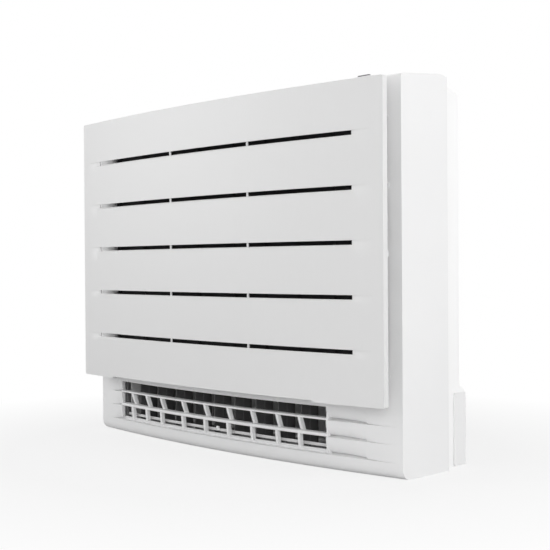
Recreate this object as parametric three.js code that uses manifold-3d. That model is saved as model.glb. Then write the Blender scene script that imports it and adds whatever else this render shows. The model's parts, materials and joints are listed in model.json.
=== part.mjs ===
// A slim floor standing air conditioner with a slotted, bowed front panel.
// Millimetres. +X to the right seen from the front, +Y to the back, +Z up.
// The origin is at the middle of the footprint, on the floor.

import * as THREE from "three";
import { mergeVertices } from "three/addons/utils/BufferGeometryUtils.js";
import Module from "manifold-3d";

const wasm = await Module();
wasm.setup();

// ---- Overall size -------------------------------------------------------
const WIDTH = 750;
const DEPTH = 238;
const HEIGHT = 600;
const HALF = WIDTH / 2;
const FRONT = -DEPTH / 2;
const BACK = DEPTH / 2;

// ---- Clearances and walls -------------------------------------------------
const FIT = 0.5; // between parts that seat on each other
const WALL = 2.5; // moulded casings and ducts
const PANEL_WALL = 2.6;
const SHEET_METAL = 1.5;
const SWING_GAP = 1; // beside a part that turns

// ---- Front panel ------------------------------------------------------------
const PANEL_INSET = 1; // narrower than the casing on each side
const PANEL_BOTTOM = 108.5;
const PANEL_TOP_DROP = 15.4; // panel top below the casing's crest
const PANEL_BOW = 24.1; // how far its ends lie behind its middle
const PANEL_RETURN = 9.5; // depth of the turned edge
const SLOT_COUNT = 5;
const SLOT_PITCH = 80;
const SLOT_HEIGHT = 6.5;
const SLOT_TOP_DROP = 74.5; // highest slot below the panel's top edge
const SLOT_MARGINS = [67, 53]; // beside the slots' left and right ends
const SLOT_RIB = 3;
const SLOT_RIBS_AT = [-80, 112];
const SLOT_FADE = 36; // length of the tapered recess past each slot end
const SLOT_RECESS = 1.2;
const NOTCH_MARGINS = [107, 131]; // beside the shallow relief in the bottom edge
const NOTCH_HEIGHT = 2.8;
const HINGE_MARGIN = 125; // hinge lugs, in from the casing's sides

// ---- Front casing -------------------------------------------------------------
const PANEL_STANDOFF = 37.1; // casing front behind the panel front, at the middle
const BODY_BOW = 27.1;
const CASING_BACK_GAP = 64.5; // casing's rear edge ahead of the back
const TOP_SLOPE = 0.095; // the top rises to the back
const CREST_FROM_EDGE = 18.5; // where the top starts to round down at the rear
const CREST_SOFTNESS = 100;
const BASE_ROUND = 16; // front bottom edge rolled under
const TOP_ROUND = 3;
const BASE_FLANGE = 60; // depth of the rolled-under bottom flange
const WINDOW_MARGIN = 50; // beside the intake opening
const WINDOW_BOTTOM = 130;
const WINDOW_TOP_DROP = 44;
const TUNNEL_BACK = 72; // filter tunnel's rear end behind the panel front

// ---- Lower outlet ----------------------------------------------------------------
const OUTLET_MARGINS = [89, 132];
const INSERT_MARGIN = 64; // the casing beside the grille insert
const SHINGLE_TOPS = [103, 77, 51, 24.5]; // top edges of the shingled faces
const SHINGLE_BOTTOMS = [81.2, 55.2, 28.7];
const SHINGLE_DEPTH = 5; // how far a face lies back at its foot
const SHINGLE_CURVE = 2.6; // power by which it sweeps back
const FADE_LEFT_MARGINS = [30, 84]; // shingles fade out at both sides
const FADE_RIGHT_MARGINS = [2, 113];
const CASING_SHINGLE = 0.62; // casing grooves are shallower than the insert's
const OUTLET_ROWS = [[80, 99.4], [56.5, 76], [30.5, 50.5]]; // open heights
const BAR_DEPTH = 15;
const RIB_WIDTH = 5.5;
const RIB_PLACES = [0.068, 0.157, 0.2457, 0.3667, 0.482, 0.5936, 0.7013, 0.8072, 0.896]; // of the width
const RIB_SLANT = 8; // foot of an upper rib behind its head

// ---- Upper outlet ---------------------------------------------------------------
const TOP_OUT_MARGINS = [75, 125];
const TOP_OUT_FRONT = 74; // from the panel front
const TOP_OUT_CHORD = 42;

// ---- Rear casing ------------------------------------------------------------------
const REAR_INSET = 18; // narrower than the front casing on each side
const REAR_STEP = 13; // upper back wall ahead of the lower back wall
const REAR_TOP_DROP = 12.6;
const REAR_CHAMFER_RUN = 25;
const REAR_CHAMFER_DROP = 9.5;
const REAR_FOOT_TOP = 117; // the full-depth foot ends here
const REAR_FOOT_SLOPE = 8;
const REAR_FRONT = 99.5; // tub's open front, from the panel front
const PARTITION_MARGIN = 119; // room beside the fan for the control box

// ---- Fan and heat exchanger --------------------------------------------------------
const FAN_SHIFT = 4.5; // the fan's centre right of the coil's middle
const FAN_DROP = 7; // and below it
const FAN_RADIUS = 165;
const FAN_DEPTH = 50;
const FAN_EYE = 124;
const FAN_BLADES = 7;
const SHAFT_RADIUS = 4;
const MOTOR_RADIUS = 50;
const COIL_MARGINS = [75, 160];
const COIL_BOTTOM = 152;
const COIL_TOP_DROP = 30; // below the intake opening's top
const COIL_THICK = 27;

// ---- Worked out ---------------------------------------------------------------------
const PANEL_HALF = HALF - PANEL_INSET;
const between = ([left, right]) => [left - HALF, HALF - right];
const [SLOT_LEFT, SLOT_RIGHT] = between(SLOT_MARGINS);
const [NOTCH_LEFT, NOTCH_RIGHT] = between(NOTCH_MARGINS);
const [OUTLET_LEFT, OUTLET_RIGHT] = between(OUTLET_MARGINS);
const [TOP_OUT_LEFT, TOP_OUT_RIGHT] = between(TOP_OUT_MARGINS);
const [COIL_LEFT, COIL_RIGHT] = between(COIL_MARGINS);
const FADE_LEFT = FADE_LEFT_MARGINS.map((margin) => margin - HALF);
const FADE_RIGHT = FADE_RIGHT_MARGINS.map((margin) => HALF - margin);
const RIBS_AT = RIB_PLACES.map((place) => OUTLET_LEFT + place * (OUTLET_RIGHT - OUTLET_LEFT));
const HINGE_X = HALF - HINGE_MARGIN;
const WINDOW_HALF = HALF - WINDOW_MARGIN;
const WINDOW_TOP = HEIGHT - WINDOW_TOP_DROP;
const INSERT_HALF = HALF - INSERT_MARGIN;
const PARTITION_X = HALF - PARTITION_MARGIN;
const COIL_TOP = WINDOW_TOP - COIL_TOP_DROP;
const FAN_X = (COIL_LEFT + COIL_RIGHT) / 2 + FAN_SHIFT;
const FAN_Z = (COIL_BOTTOM + COIL_TOP) / 2 - FAN_DROP;
const PANEL_TOP = HEIGHT - PANEL_TOP_DROP;
const CASING_BACK = BACK - CASING_BACK_GAP;
const BODY_FRONT = FRONT + PANEL_STANDOFF;
const REAR_HALF = HALF - REAR_INSET;
const REAR_WALL = BACK - REAR_STEP;
const REAR_TOP = HEIGHT - REAR_TOP_DROP;
const REAR_OPEN = FRONT + REAR_FRONT;
const TUNNEL_END = FRONT + TUNNEL_BACK;

const panelFront = (x) => FRONT + PANEL_BOW * (x / PANEL_HALF) ** 2;
const bodyFront = (x) => BODY_FRONT + BODY_BOW * (x / HALF) ** 2;
const bodyTop = (y) => {
  const crest = CASING_BACK - CREST_FROM_EDGE;
  const rise = Math.max(0, crest - y) * TOP_SLOPE;
  const roll = Math.max(0, y - crest) ** 2 / CREST_SOFTNESS;
  return HEIGHT - rise - roll;
};

// ---- Solids ---------------------------------------------------------------------------
function solid(geometry) {
  const bare = geometry.clone();
  bare.deleteAttribute("normal");
  bare.deleteAttribute("uv");
  const welded = mergeVertices(bare, 1e-4);
  return new wasm.Manifold(new wasm.Mesh({
    numProp: 3,
    vertProperties: new Float32Array(welded.attributes.position.array),
    triVerts: new Uint32Array(welded.index.array),
  }));
}

function geometryOf(body) {
  const mesh = body.getMesh();
  const geometry = new THREE.BufferGeometry();
  geometry.setAttribute("position", new THREE.BufferAttribute(mesh.vertProperties, 3));
  geometry.setIndex(new THREE.BufferAttribute(mesh.triVerts, 1));
  geometry.computeVertexNormals();
  return geometry;
}

const join = (...bodies) => bodies.flat().reduce((a, b) => a.add(b));
const cut = (body, ...tools) => tools.flat().reduce((a, b) => a.subtract(b), body);

function box([x0, x1], [y0, y1], [z0, z1]) {
  const geometry = new THREE.BoxGeometry(x1 - x0, y1 - y0, z1 - z0);
  geometry.translate((x0 + x1) / 2, (y0 + y1) / 2, (z0 + z1) / 2);
  return solid(geometry);
}

// Extrudes an outline along one axis. The outline's pairs are (y, z) along X,
// (z, x) along Y and (x, y) along Z.
function prism(axis, points, [from, to]) {
  const outline = new THREE.Shape(points.map(([a, b]) => new THREE.Vector2(a, b)));
  return prismOf(axis, outline, [from, to]);
}

function prismOf(axis, outline, [from, to], curveSegments = 12) {
  const geometry = new THREE.ExtrudeGeometry(outline, {
    depth: to - from, bevelEnabled: false, curveSegments,
  });
  geometry.translate(0, 0, from);
  const x = new THREE.Vector3(1, 0, 0);
  const y = new THREE.Vector3(0, 1, 0);
  const z = new THREE.Vector3(0, 0, 1);
  const basis = { X: [y, z, x], Y: [z, x, y], Z: [x, y, z] }[axis];
  geometry.applyMatrix4(new THREE.Matrix4().makeBasis(...basis));
  return solid(geometry);
}

// A rectangle with rounded corners, in the two coordinates that prism() takes.
function roundedRect([a0, a1], [b0, b1], r) {
  const s = new THREE.Shape();
  s.moveTo(a0 + r, b0);
  s.lineTo(a1 - r, b0);
  s.absarc(a1 - r, b0 + r, r, -Math.PI / 2, 0);
  s.lineTo(a1, b1 - r);
  s.absarc(a1 - r, b1 - r, r, 0, Math.PI / 2);
  s.lineTo(a0 + r, b1);
  s.absarc(a0 + r, b1 - r, r, Math.PI / 2, Math.PI);
  s.lineTo(a0, b0 + r);
  s.absarc(a0 + r, b0 + r, r, Math.PI, 1.5 * Math.PI);
  return s;
}

function rod(axis, [a, b], radius, [from, to], sides = 20) {
  const points = Array.from({ length: sides }, (_, i) => {
    const turn = (2 * Math.PI * i) / sides;
    return [a + radius * Math.cos(turn), b + radius * Math.sin(turn)];
  });
  return prism(axis, points, [from, to]);
}

// A closed skin between two point grids: outer(u, v) and inner(u, v), u and v
// running over the given stations.
function skin(us, vs, outer, inner) {
  const position = [];
  const index = [];
  for (const side of [outer, inner]) {
    for (const u of us) for (const v of vs) position.push(...side(u, v));
  }
  const rows = us.length;
  const cols = vs.length;
  const at = (side, i, j) => side * rows * cols + i * cols + j;
  const quad = (a, b, c, d) => index.push(a, b, c, a, c, d);
  for (let i = 0; i + 1 < rows; i++) {
    for (let j = 0; j + 1 < cols; j++) {
      quad(at(0, i, j), at(0, i + 1, j), at(0, i + 1, j + 1), at(0, i, j + 1));
      quad(at(1, i, j), at(1, i, j + 1), at(1, i + 1, j + 1), at(1, i + 1, j));
    }
    quad(at(0, i, 0), at(1, i, 0), at(1, i + 1, 0), at(0, i + 1, 0));
    const last = cols - 1;
    quad(at(0, i, last), at(0, i + 1, last), at(1, i + 1, last), at(1, i, last));
  }
  for (let j = 0; j + 1 < cols; j++) {
    quad(at(0, 0, j), at(0, 0, j + 1), at(1, 0, j + 1), at(1, 0, j));
    const last = rows - 1;
    quad(at(0, last, j), at(1, last, j), at(1, last, j + 1), at(0, last, j + 1));
  }
  const geometry = new THREE.BufferGeometry();
  geometry.setAttribute("position", new THREE.Float32BufferAttribute(position, 3));
  geometry.setIndex(signedVolume(position, index) < 0 ? index.reverse() : index);
  return solid(geometry);
}

function signedVolume(position, index) {
  const at = (i) => new THREE.Vector3().fromArray(position, 3 * i);
  let sum = 0;
  for (let t = 0; t < index.length; t += 3) {
    sum += at(index[t]).dot(at(index[t + 1]).cross(at(index[t + 2]))) / 6;
  }
  return sum;
}

const stations = (from, to, count) =>
  Array.from({ length: count + 1 }, (_, i) => from + ((to - from) * i) / count);

const clamp = (value, low, high) => Math.min(high, Math.max(low, value));
const smooth = (t) => t * t * (3 - 2 * t);

// ---- Finishes ---------------------------------------------------------------------------
const finish = (color, roughness, metalness = 0) => ({ color, roughness, metalness });
const WHITE = finish(0xeeeeef, 0.45);
const PANEL_WHITE = finish(0xe6e7e8, 0.5);
const DARK = finish(0x34343a, 0.6);
const GREY = finish(0x8c8c94, 0.4);
const FILM = finish(0x9a9aa6, 0.2);
const STEEL = finish(0xb9bcc0, 0.4, 0.9);
const ALUMINIUM = finish(0xc9ccd0, 0.45, 0.8);
const COPPER = finish(0xb87443, 0.35, 0.9);
const BRASS = finish(0xc2a14f, 0.35, 0.9);
const GREEN = finish(0x2f6b45, 0.6);

const unit = new THREE.Group();
unit.name = "air_conditioner";

function add(name, body, look) {
  const mesh = new THREE.Mesh(geometryOf(body), new THREE.MeshStandardMaterial(look));
  mesh.name = name;
  unit.add(mesh);
}

// ---- Front panel: a bowed plate with a turned edge, slots and tapered recesses ------------
const HINGE_Y = FRONT + 35;
const HINGE_Z = PANEL_BOTTOM + 10;
const HINGE_R = 2.5;
const LUG_R = 6;
const LUG_WIDTH = 8;
const PANEL_FACETS = 16;
const slotTops = Array.from({ length: SLOT_COUNT },
  (_, i) => PANEL_TOP - SLOT_TOP_DROP - i * SLOT_PITCH);
const slotRuns = [SLOT_LEFT, ...SLOT_RIBS_AT, SLOT_RIGHT];

function frontPanel() {
  const xs = stations(-PANEL_HALF, PANEL_HALF, PANEL_FACETS);
  const zs = [PANEL_BOTTOM, PANEL_TOP];
  const plate = skin(xs, zs,
    (x, z) => [x, panelFront(x), z],
    (x, z) => [x, panelFront(x) + PANEL_RETURN, z]);
  const inner = [PANEL_HALF - PANEL_WALL, PANEL_BOTTOM + PANEL_WALL, PANEL_TOP - PANEL_WALL];
  const hollow = skin(stations(-inner[0], inner[0], PANEL_FACETS), [inner[1], inner[2]],
    (x, z) => [x, panelFront(x) + PANEL_WALL, z],
    (x, z) => [x, panelFront(x) + PANEL_RETURN + 1, z]);
  const cuts = slotTops.flatMap((top) => slotRuns.slice(1).map((right, i) => {
    const ribs = [i > 0, i + 1 < slotRuns.length - 1].map((inside) => (inside ? SLOT_RIB / 2 : 0));
    return box([slotRuns[i] + ribs[0], right - ribs[1]],
      [FRONT - 1, FRONT + PANEL_RETURN + PANEL_BOW], [top - SLOT_HEIGHT, top]);
  }));
  const recesses = slotTops.flatMap((top) => [[SLOT_LEFT, -1], [SLOT_RIGHT, 1]].map(([end, way]) => {
    const tip = end + way * SLOT_FADE;
    const near = end - way;
    const depthAt = (x) => -1 + (1 + SLOT_RECESS) * Math.abs((tip - x) / (tip - near));
    return skin([near, tip].sort((a, b) => a - b), [top - SLOT_HEIGHT, top],
      (x, z) => [x, panelFront(x) - 1.5, z],
      (x, z) => [x, panelFront(x) + Math.max(depthAt(x), -0.9), z]);
  }));
  const notch = box([NOTCH_LEFT, NOTCH_RIGHT], [FRONT - 1, FRONT + PANEL_RETURN + PANEL_BOW],
    [PANEL_BOTTOM - 1, PANEL_BOTTOM + NOTCH_HEIGHT]);
  const lugs = [-1, 1].map((side) => {
    const x = [side * HINGE_X - LUG_WIDTH / 2, side * HINGE_X + LUG_WIDTH / 2];
    const face = Math.max(...x.map(panelFront)) + PANEL_WALL - 1;
    const arm = box(x, [face, HINGE_Y], [HINGE_Z - LUG_R, HINGE_Z + LUG_R]);
    const eye = rod("X", [HINGE_Y, HINGE_Z], LUG_R, x);
    return cut(join(arm, eye), rod("X", [HINGE_Y, HINGE_Z], HINGE_R + FIT, [x[0] - 1, x[1] + 1]));
  });
  return join(cut(plate, hollow, cuts, recesses, notch), lugs);
}
add("front_panel", frontPanel(), PANEL_WHITE);

// ---- Shingled lower front --------------------------------------------------------------
// How strongly the shingles show at x: full across the outlet, fading out at both sides.
function shingleShare(x) {
  const left = clamp((x - FADE_LEFT[0]) / (FADE_LEFT[1] - FADE_LEFT[0]), 0, 1);
  const right = clamp((FADE_RIGHT[0] - x) / (FADE_RIGHT[0] - FADE_RIGHT[1]), 0, 1);
  return smooth(Math.min(left, right));
}

// Each station of the lower front is a height and a depth behind the bowed surface.
function shingleProfile(share) {
  const rows = [];
  SHINGLE_BOTTOMS.forEach((bottom, i) => {
    const top = SHINGLE_TOPS[i];
    const next = SHINGLE_TOPS[i + 1];
    const foot = next + (bottom - next) * Math.max(share, 0.12);
    for (const t of [0, 0.6, 1]) {
      rows.push([top + (foot - top) * t, SHINGLE_DEPTH * share * t ** SHINGLE_CURVE]);
    }
  });
  rows.push([SHINGLE_TOPS[SHINGLE_TOPS.length - 1], 0]);
  return rows;
}

function shingleSkin(from, to, count, strength) {
  const rows = shingleProfile(1).map((_, i) => i);
  const xs = stations(from, to, count);
  const at = (x, i) => {
    const share = shingleShare(x) * strength;
    const [z, depth] = shingleProfile(share)[i];
    return [x, bodyFront(x) + depth, z];
  };
  return skin(xs, rows, at, (x, i) => {
    const [px, py, pz] = at(x, i);
    return [px, py + WALL, pz];
  });
}

// ---- Front casing: a bowed shell, open behind, its sides square to the front ----------------
// Points of the casing's section, front bottom flange round to the rear of the top, at
// column x and set in by a wall.
function casingSection(x, wall) {
  const front = bodyFront(x) + wall;
  const low = BASE_ROUND - wall;
  const points = [[BODY_FRONT + BASE_FLANGE, wall]];
  for (const turn of stations(0, 1, 4)) {
    const angle = (turn * Math.PI) / 2;
    points.push([front + low - low * Math.sin(angle), wall + low - low * Math.cos(angle)]);
  }
  points.push([front, SHINGLE_TOPS[3]], [front, SHINGLE_TOPS[0]]);
  points.push([front, bodyTop(front) - TOP_ROUND - wall]);
  const back = front + TOP_ROUND;
  for (const t of [0, 0.84, 0.9, 0.95, 1]) {
    const y = back + (CASING_BACK - back) * t;
    points.push([y, bodyTop(y) - wall]);
  }
  return points;
}

const OUTLET_FLOOR = OUTLET_ROWS[2][0];
const OUTLET_CEILING = OUTLET_ROWS[0][1];
const topOutFront = FRONT + TOP_OUT_FRONT;
const topOutBack = topOutFront + TOP_OUT_CHORD;
const DISPLAY_MARGINS = [83, 50];
const DISPLAY_X = DISPLAY_MARGINS.map((margin) => HALF - margin);
const DISPLAY_Y = [FRONT + 57, FRONT + 82];
const DISPLAY_RISE = 3.2;
const BUTTON_MARGIN = 25;
const BUTTON_X = HALF - BUTTON_MARGIN;
const BUTTON_Z = WINDOW_TOP - 126;
const BUTTON_R = 5;
const SWITCH_Z = BUTTON_Z - 100;
const SWITCH_TRAVEL = 7;
const SWITCH_KNOB = [5, 8];
const STOPPER_MARGIN = 83;
const STOPPER_X = HALF - STOPPER_MARGIN;
const STOPPER_RISE = 15; // above the intake opening
const STOPPER_Z = WINDOW_TOP + STOPPER_RISE;
const STOPPER_TRAVEL = 10;
const STOPPER_KNOB = [14, 6];
const STOPPER_LIP = 3.4; // clears the casing's bow along the knob's travel
const SCREW_MARGIN = 24;
const SCREW_X = HALF - SCREW_MARGIN;
const SCREW_Z = [WINDOW_BOTTOM + 20, WINDOW_TOP - 26];
const SCREW_R = 2;
const SCREW_HEAD = 4;

function filterTunnel() {
  const outer = [WINDOW_HALF + WALL, WINDOW_BOTTOM - WALL, WINDOW_TOP + WALL];
  const wall = skin(stations(-outer[0], outer[0], 10), [outer[1], outer[2]],
    (x, z) => [x, bodyFront(x) + 1, z], (x, z) => [x, TUNNEL_END, z]);
  const bore = box([-WINDOW_HALF, WINDOW_HALF], [FRONT, TUNNEL_END - WALL],
    [WINDOW_BOTTOM, WINDOW_TOP]);
  const lip = 5;
  const back = box([-WINDOW_HALF + lip, WINDOW_HALF - lip], [FRONT, TUNNEL_END + 1],
    [WINDOW_BOTTOM + lip, WINDOW_TOP - lip]);
  return cut(wall, bore, back);
}

function frontCasing() {
  const xs = stations(-HALF, HALF, 16);
  const rows = casingSection(0, 0).map((_, i) => i);
  const outer = (x, i) => [x, ...casingSection(x, 0)[i]];
  const shell = skin(xs, rows, outer, (x, i) => [x, ...casingSection(x, WALL)[i]]);
  const sides = [[-HALF, -HALF + WALL], [HALF - WALL, HALF]].map((span) => {
    const edge = casingSection(HALF, 0);
    return prism("X", [...edge, [CASING_BACK, 0]], span);
  });
  const mouth = box([-HALF - 1, HALF + 1], [FRONT, bodyFront(HALF) + WALL + 1],
    [SHINGLE_TOPS[3], SHINGLE_TOPS[0]]);
  const cheeks = [[-HALF, -INSERT_HALF - FIT], [INSERT_HALF + FIT, HALF]].map(([from, to]) =>
    shingleSkin(from, to, 5, CASING_SHINGLE));
  const cheekWalls = [[-HALF, -HALF + WALL], [HALF - WALL, HALF]].map((span) =>
    box(span, [bodyFront(HALF) + WALL / 2, bodyFront(HALF) + WALL + 2],
      [SHINGLE_TOPS[3] - 1, SHINGLE_TOPS[0] + 1]));
  const window = box([-WINDOW_HALF, WINDOW_HALF], [FRONT, TUNNEL_END - WALL],
    [WINDOW_BOTTOM, WINDOW_TOP]);
  const topOutlet = box([TOP_OUT_LEFT, TOP_OUT_RIGHT], [topOutFront, topOutBack],
    [WINDOW_TOP + 8, HEIGHT + 1]);
  const displayHole = box([DISPLAY_X[0] + 3, DISPLAY_X[1] - 3],
    [DISPLAY_Y[0] + 5, DISPLAY_Y[1] - 3], [WINDOW_TOP + 8, HEIGHT + 1]);
  const deep = [FRONT, TUNNEL_END];
  const buttonHole = rod("Y", [BUTTON_Z, BUTTON_X], BUTTON_R + FIT, deep);
  const switchHole = box([BUTTON_X - SWITCH_KNOB[0] / 2 - FIT, BUTTON_X + SWITCH_KNOB[0] / 2 + FIT],
    deep, [SWITCH_Z - SWITCH_KNOB[1] / 2 - FIT, SWITCH_Z + SWITCH_KNOB[1] / 2 + SWITCH_TRAVEL + FIT]);
  const stopperHoles = [-1, 1].map((side) => {
    const near = side * (STOPPER_X - STOPPER_KNOB[0] / 2 - FIT);
    const far = side * (STOPPER_X + STOPPER_KNOB[0] / 2 + STOPPER_TRAVEL + FIT);
    return box([Math.min(near, far), Math.max(near, far)], deep,
      [STOPPER_Z - STOPPER_KNOB[1] / 2 - FIT, STOPPER_Z + STOPPER_KNOB[1] / 2 + FIT]);
  });
  const screwHoles = [-1, 1].flatMap((side) => SCREW_Z.map((z) =>
    rod("Y", [z, side * SCREW_X], SCREW_R + FIT, deep, 12)));
  const ears = [-1, 1].flatMap((side) => [-1, 1].map((way) => {
    const near = side * HINGE_X + way * (LUG_WIDTH / 2 + SWING_GAP);
    const x = [near, near + way * 4].sort((a, b) => a - b);
    const arm = box(x, [HINGE_Y, Math.min(...x.map(bodyFront)) + WALL],
      [HINGE_Z - 5, HINGE_Z + 5]);
    return join(arm, rod("X", [HINGE_Y, HINGE_Z], 5, x));
  }));
  const pins = [-1, 1].map((side) => {
    const reach = LUG_WIDTH / 2 + SWING_GAP + 3;
    return rod("X", [HINGE_Y, HINGE_Z], HINGE_R,
      [side * HINGE_X - reach, side * HINGE_X + reach], 16);
  });
  const body = join(cut(join(shell, sides), mouth), cheeks, cheekWalls);
  return join(cut(join(cut(body, window), filterTunnel()), topOutlet, displayHole, buttonHole,
    switchHole, stopperHoles, screwHoles), ears, pins);
}
add("front_casing", frontCasing(), WHITE);

// ---- Lower outlet grille: shingled ends, two bars and nine upright ribs --------------------
function grilleBar(level) {
  const [low, high] = [OUTLET_ROWS[level + 1][1] - 1, OUTLET_ROWS[level][0] + 0.5];
  const nose = (high - low) / 2;
  const points = [[0, low + nose * 0.3], [0, low + nose], [3, high], [BAR_DEPTH, high + 1.2],
    [BAR_DEPTH, high - 0.6], [4, low]];
  const xs = stations(OUTLET_LEFT - 2, OUTLET_RIGHT + 2, 10);
  const pairs = [0, 1, 2];
  return skin(xs, pairs,
    (x, i) => [x, bodyFront(x) + points[5 - i][0], points[5 - i][1]],
    (x, i) => [x, bodyFront(x) + points[i][0], points[i][1]]);
}

function grilleRib(x, level) {
  const [low, high] = OUTLET_ROWS[level];
  const face = bodyFront(x);
  const slant = level === 1 ? RIB_SLANT : 2;
  const points = [[face + 1 + slant, low - 1.5], [face + BAR_DEPTH, low - 1.5],
    [face + BAR_DEPTH, high + 2], [face + 1.2, high + 2]];
  return prism("X", points, [x - RIB_WIDTH / 2, x + RIB_WIDTH / 2]);
}

function lowerGrille() {
  const face = cut(shingleSkin(-INSERT_HALF, INSERT_HALF, 16, 1), OUTLET_ROWS.map((row) =>
    box([OUTLET_LEFT, OUTLET_RIGHT], [FRONT, 0], row)));
  const frame = skin(stations(OUTLET_LEFT - 3, OUTLET_RIGHT + 3, 8),
    [SHINGLE_TOPS[3] + FIT, SHINGLE_TOPS[0] - FIT],
    (x, z) => [x, bodyFront(x) + SHINGLE_DEPTH + 1, z],
    (x, z) => [x, bodyFront(x) + BAR_DEPTH, z]);
  const opening = box([OUTLET_LEFT, OUTLET_RIGHT], [FRONT, 0], [OUTLET_FLOOR, OUTLET_CEILING]);
  const bars = [0, 1].map(grilleBar);
  const ribs = RIBS_AT.flatMap((x) => [1, 2].map((level) => grilleRib(x, level)));
  const cheeks = [[OUTLET_LEFT - 3, OUTLET_LEFT], [OUTLET_RIGHT, OUTLET_RIGHT + 3]].map((x) => {
    const [near, far] = [Math.max(...x.map(bodyFront)) + 1, Math.min(...x.map(bodyFront)) + BAR_DEPTH];
    return box(x, [near, far], [OUTLET_FLOOR - 1, OUTLET_CEILING + 1]);
  });
  return join(face, cut(frame, opening), cheeks, bars, ribs);
}
add("lower_outlet_grille", lowerGrille(), WHITE);

// ---- Rear casing: a tub with a chamfered top, a full-depth foot and a partition -----------
const BASE_FRONT = BODY_FRONT + BASE_FLANGE + FIT;
const PLATE_FRONT = REAR_OPEN + 6; // front face of the bell mouth plate
const PLATE_THICK = 2.5;
const PLATE_BACK = PLATE_FRONT + PLATE_THICK;
const REAR_INNER = REAR_HALF - WALL;
const PIPE_COVER_TOP = 114;
const PIPE_COVER_DEPTH = 29;
const PIPE_COVER_PROUD = 3;
const SCROLL_DROP = 110;
const SCROLL_TOP = HEIGHT - SCROLL_DROP;
const WALL_HOOK_X = [-150, 0, 150];
const WALL_HOOK_DROP = 52;
const WALL_HOOK_Z = HEIGHT - WALL_HOOK_DROP;
const WALL_PLATE_HALF = HALF - 150;
const HOOK_WIDTH = 24;

// The tub's side outline, as (y, z), set in by a wall.
function rearOutline(wall) {
  const chamferY = REAR_WALL - REAR_CHAMFER_RUN;
  return [[BASE_FRONT, wall], [BACK - wall, wall], [BACK - wall, REAR_FOOT_TOP - wall],
    [REAR_WALL - wall, REAR_FOOT_TOP + REAR_FOOT_SLOPE - wall],
    [REAR_WALL - wall, REAR_TOP - REAR_CHAMFER_DROP - wall],
    [chamferY - wall, REAR_TOP - wall], [BASE_FRONT, REAR_TOP - wall]];
}

function rearCasing() {
  const tub = prism("X", rearOutline(0), [-REAR_HALF, REAR_HALF]);
  const hollow = prism("X", [...rearOutline(WALL).slice(1, -1),
    [BASE_FRONT - 1, REAR_TOP - WALL], [BASE_FRONT - 1, WALL]], [-REAR_INNER, REAR_INNER]);
  const flange = cut(box([-HALF + WALL + FIT, HALF - WALL - FIT],
    [CASING_BACK - 3.5, CASING_BACK - 1], [FIT, REAR_TOP + 5]),
  box([-REAR_INNER, REAR_INNER], [0, BACK], [WALL, REAR_TOP - WALL]));
  const partition = box([PARTITION_X, PARTITION_X + WALL], [PLATE_FRONT, REAR_WALL - 1],
    [WALL - 1, REAR_TOP - REAR_CHAMFER_DROP - WALL]);
  const posts = [-1, 1].flatMap((side) => SCREW_Z.map((z) => {
    const x = [side * (REAR_HALF - 12), side * REAR_HALF].sort((a, b) => a - b);
    return cut(box(x, [bodyFront(REAR_HALF) + WALL + FIT, BASE_FRONT + 1], [z - 7, z + 7]),
      rod("Y", [z, side * SCREW_X], SCREW_R + FIT, [FRONT, BASE_FRONT - 8], 12));
  }));
  const hookSlots = WALL_HOOK_X.map((x) => box([x - HOOK_WIDTH / 2 - FIT, x + HOOK_WIDTH / 2 + FIT],
    [REAR_WALL - WALL - 1, REAR_WALL + 1], [WALL_HOOK_Z - 3, WALL_HOOK_Z + 14]));
  const ribs = [-1, 1].flatMap((side) => [175, 265].map((x) => box(
    [side * x - 1, side * x + 1], [REAR_WALL - 8, REAR_WALL - WALL + 1], [REAR_FOOT_TOP + 30, SCROLL_TOP])));
  const ductWay = box([TOP_OUT_LEFT - 3, TOP_OUT_RIGHT + 16], [BASE_FRONT - 1, 34],
    [REAR_TOP - WALL - 1, REAR_TOP + 1]);
  return join(cut(tub, hollow, hookSlots, ductWay), flange, partition, posts, ribs);
}
add("rear_casing", rearCasing(), WHITE);

for (const [name, side] of [["pipe_cover_left", -1], ["pipe_cover_right", 1]]) {
  const near = side * (REAR_HALF + 0.3);
  const far = side * (REAR_HALF + PIPE_COVER_PROUD);
  const outline = roundedRect([BACK - PIPE_COVER_DEPTH, BACK - 0.5], [FIT, PIPE_COVER_TOP], 2);
  add(name, prismOf("X", outline, [Math.min(near, far), Math.max(near, far)], 3), WHITE);
}

function wallPlate() {
  const plate = box([-WALL_PLATE_HALF, WALL_PLATE_HALF], [BACK - SHEET_METAL, BACK],
    [WALL_HOOK_Z - 70, WALL_HOOK_Z + 22]);
  const holes = [-8, -4, 4, 8].map((ninths) => rod("Y", [WALL_HOOK_Z - 30, (WALL_PLATE_HALF * ninths) / 9],
    4, [BACK - 5, BACK + 1], 12));
  const hooks = WALL_HOOK_X.map((x) => {
    const span = [x - HOOK_WIDTH / 2, x + HOOK_WIDTH / 2];
    const tongue = REAR_WALL - WALL - 1;
    return join(box(span, [tongue - SHEET_METAL, BACK - 1], [WALL_HOOK_Z, WALL_HOOK_Z + SHEET_METAL]),
      box(span, [tongue - SHEET_METAL, tongue], [WALL_HOOK_Z, WALL_HOOK_Z + 10]));
  });
  return join(cut(plate, holes), hooks);
}
add("wall_plate", wallPlate(), STEEL);

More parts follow.
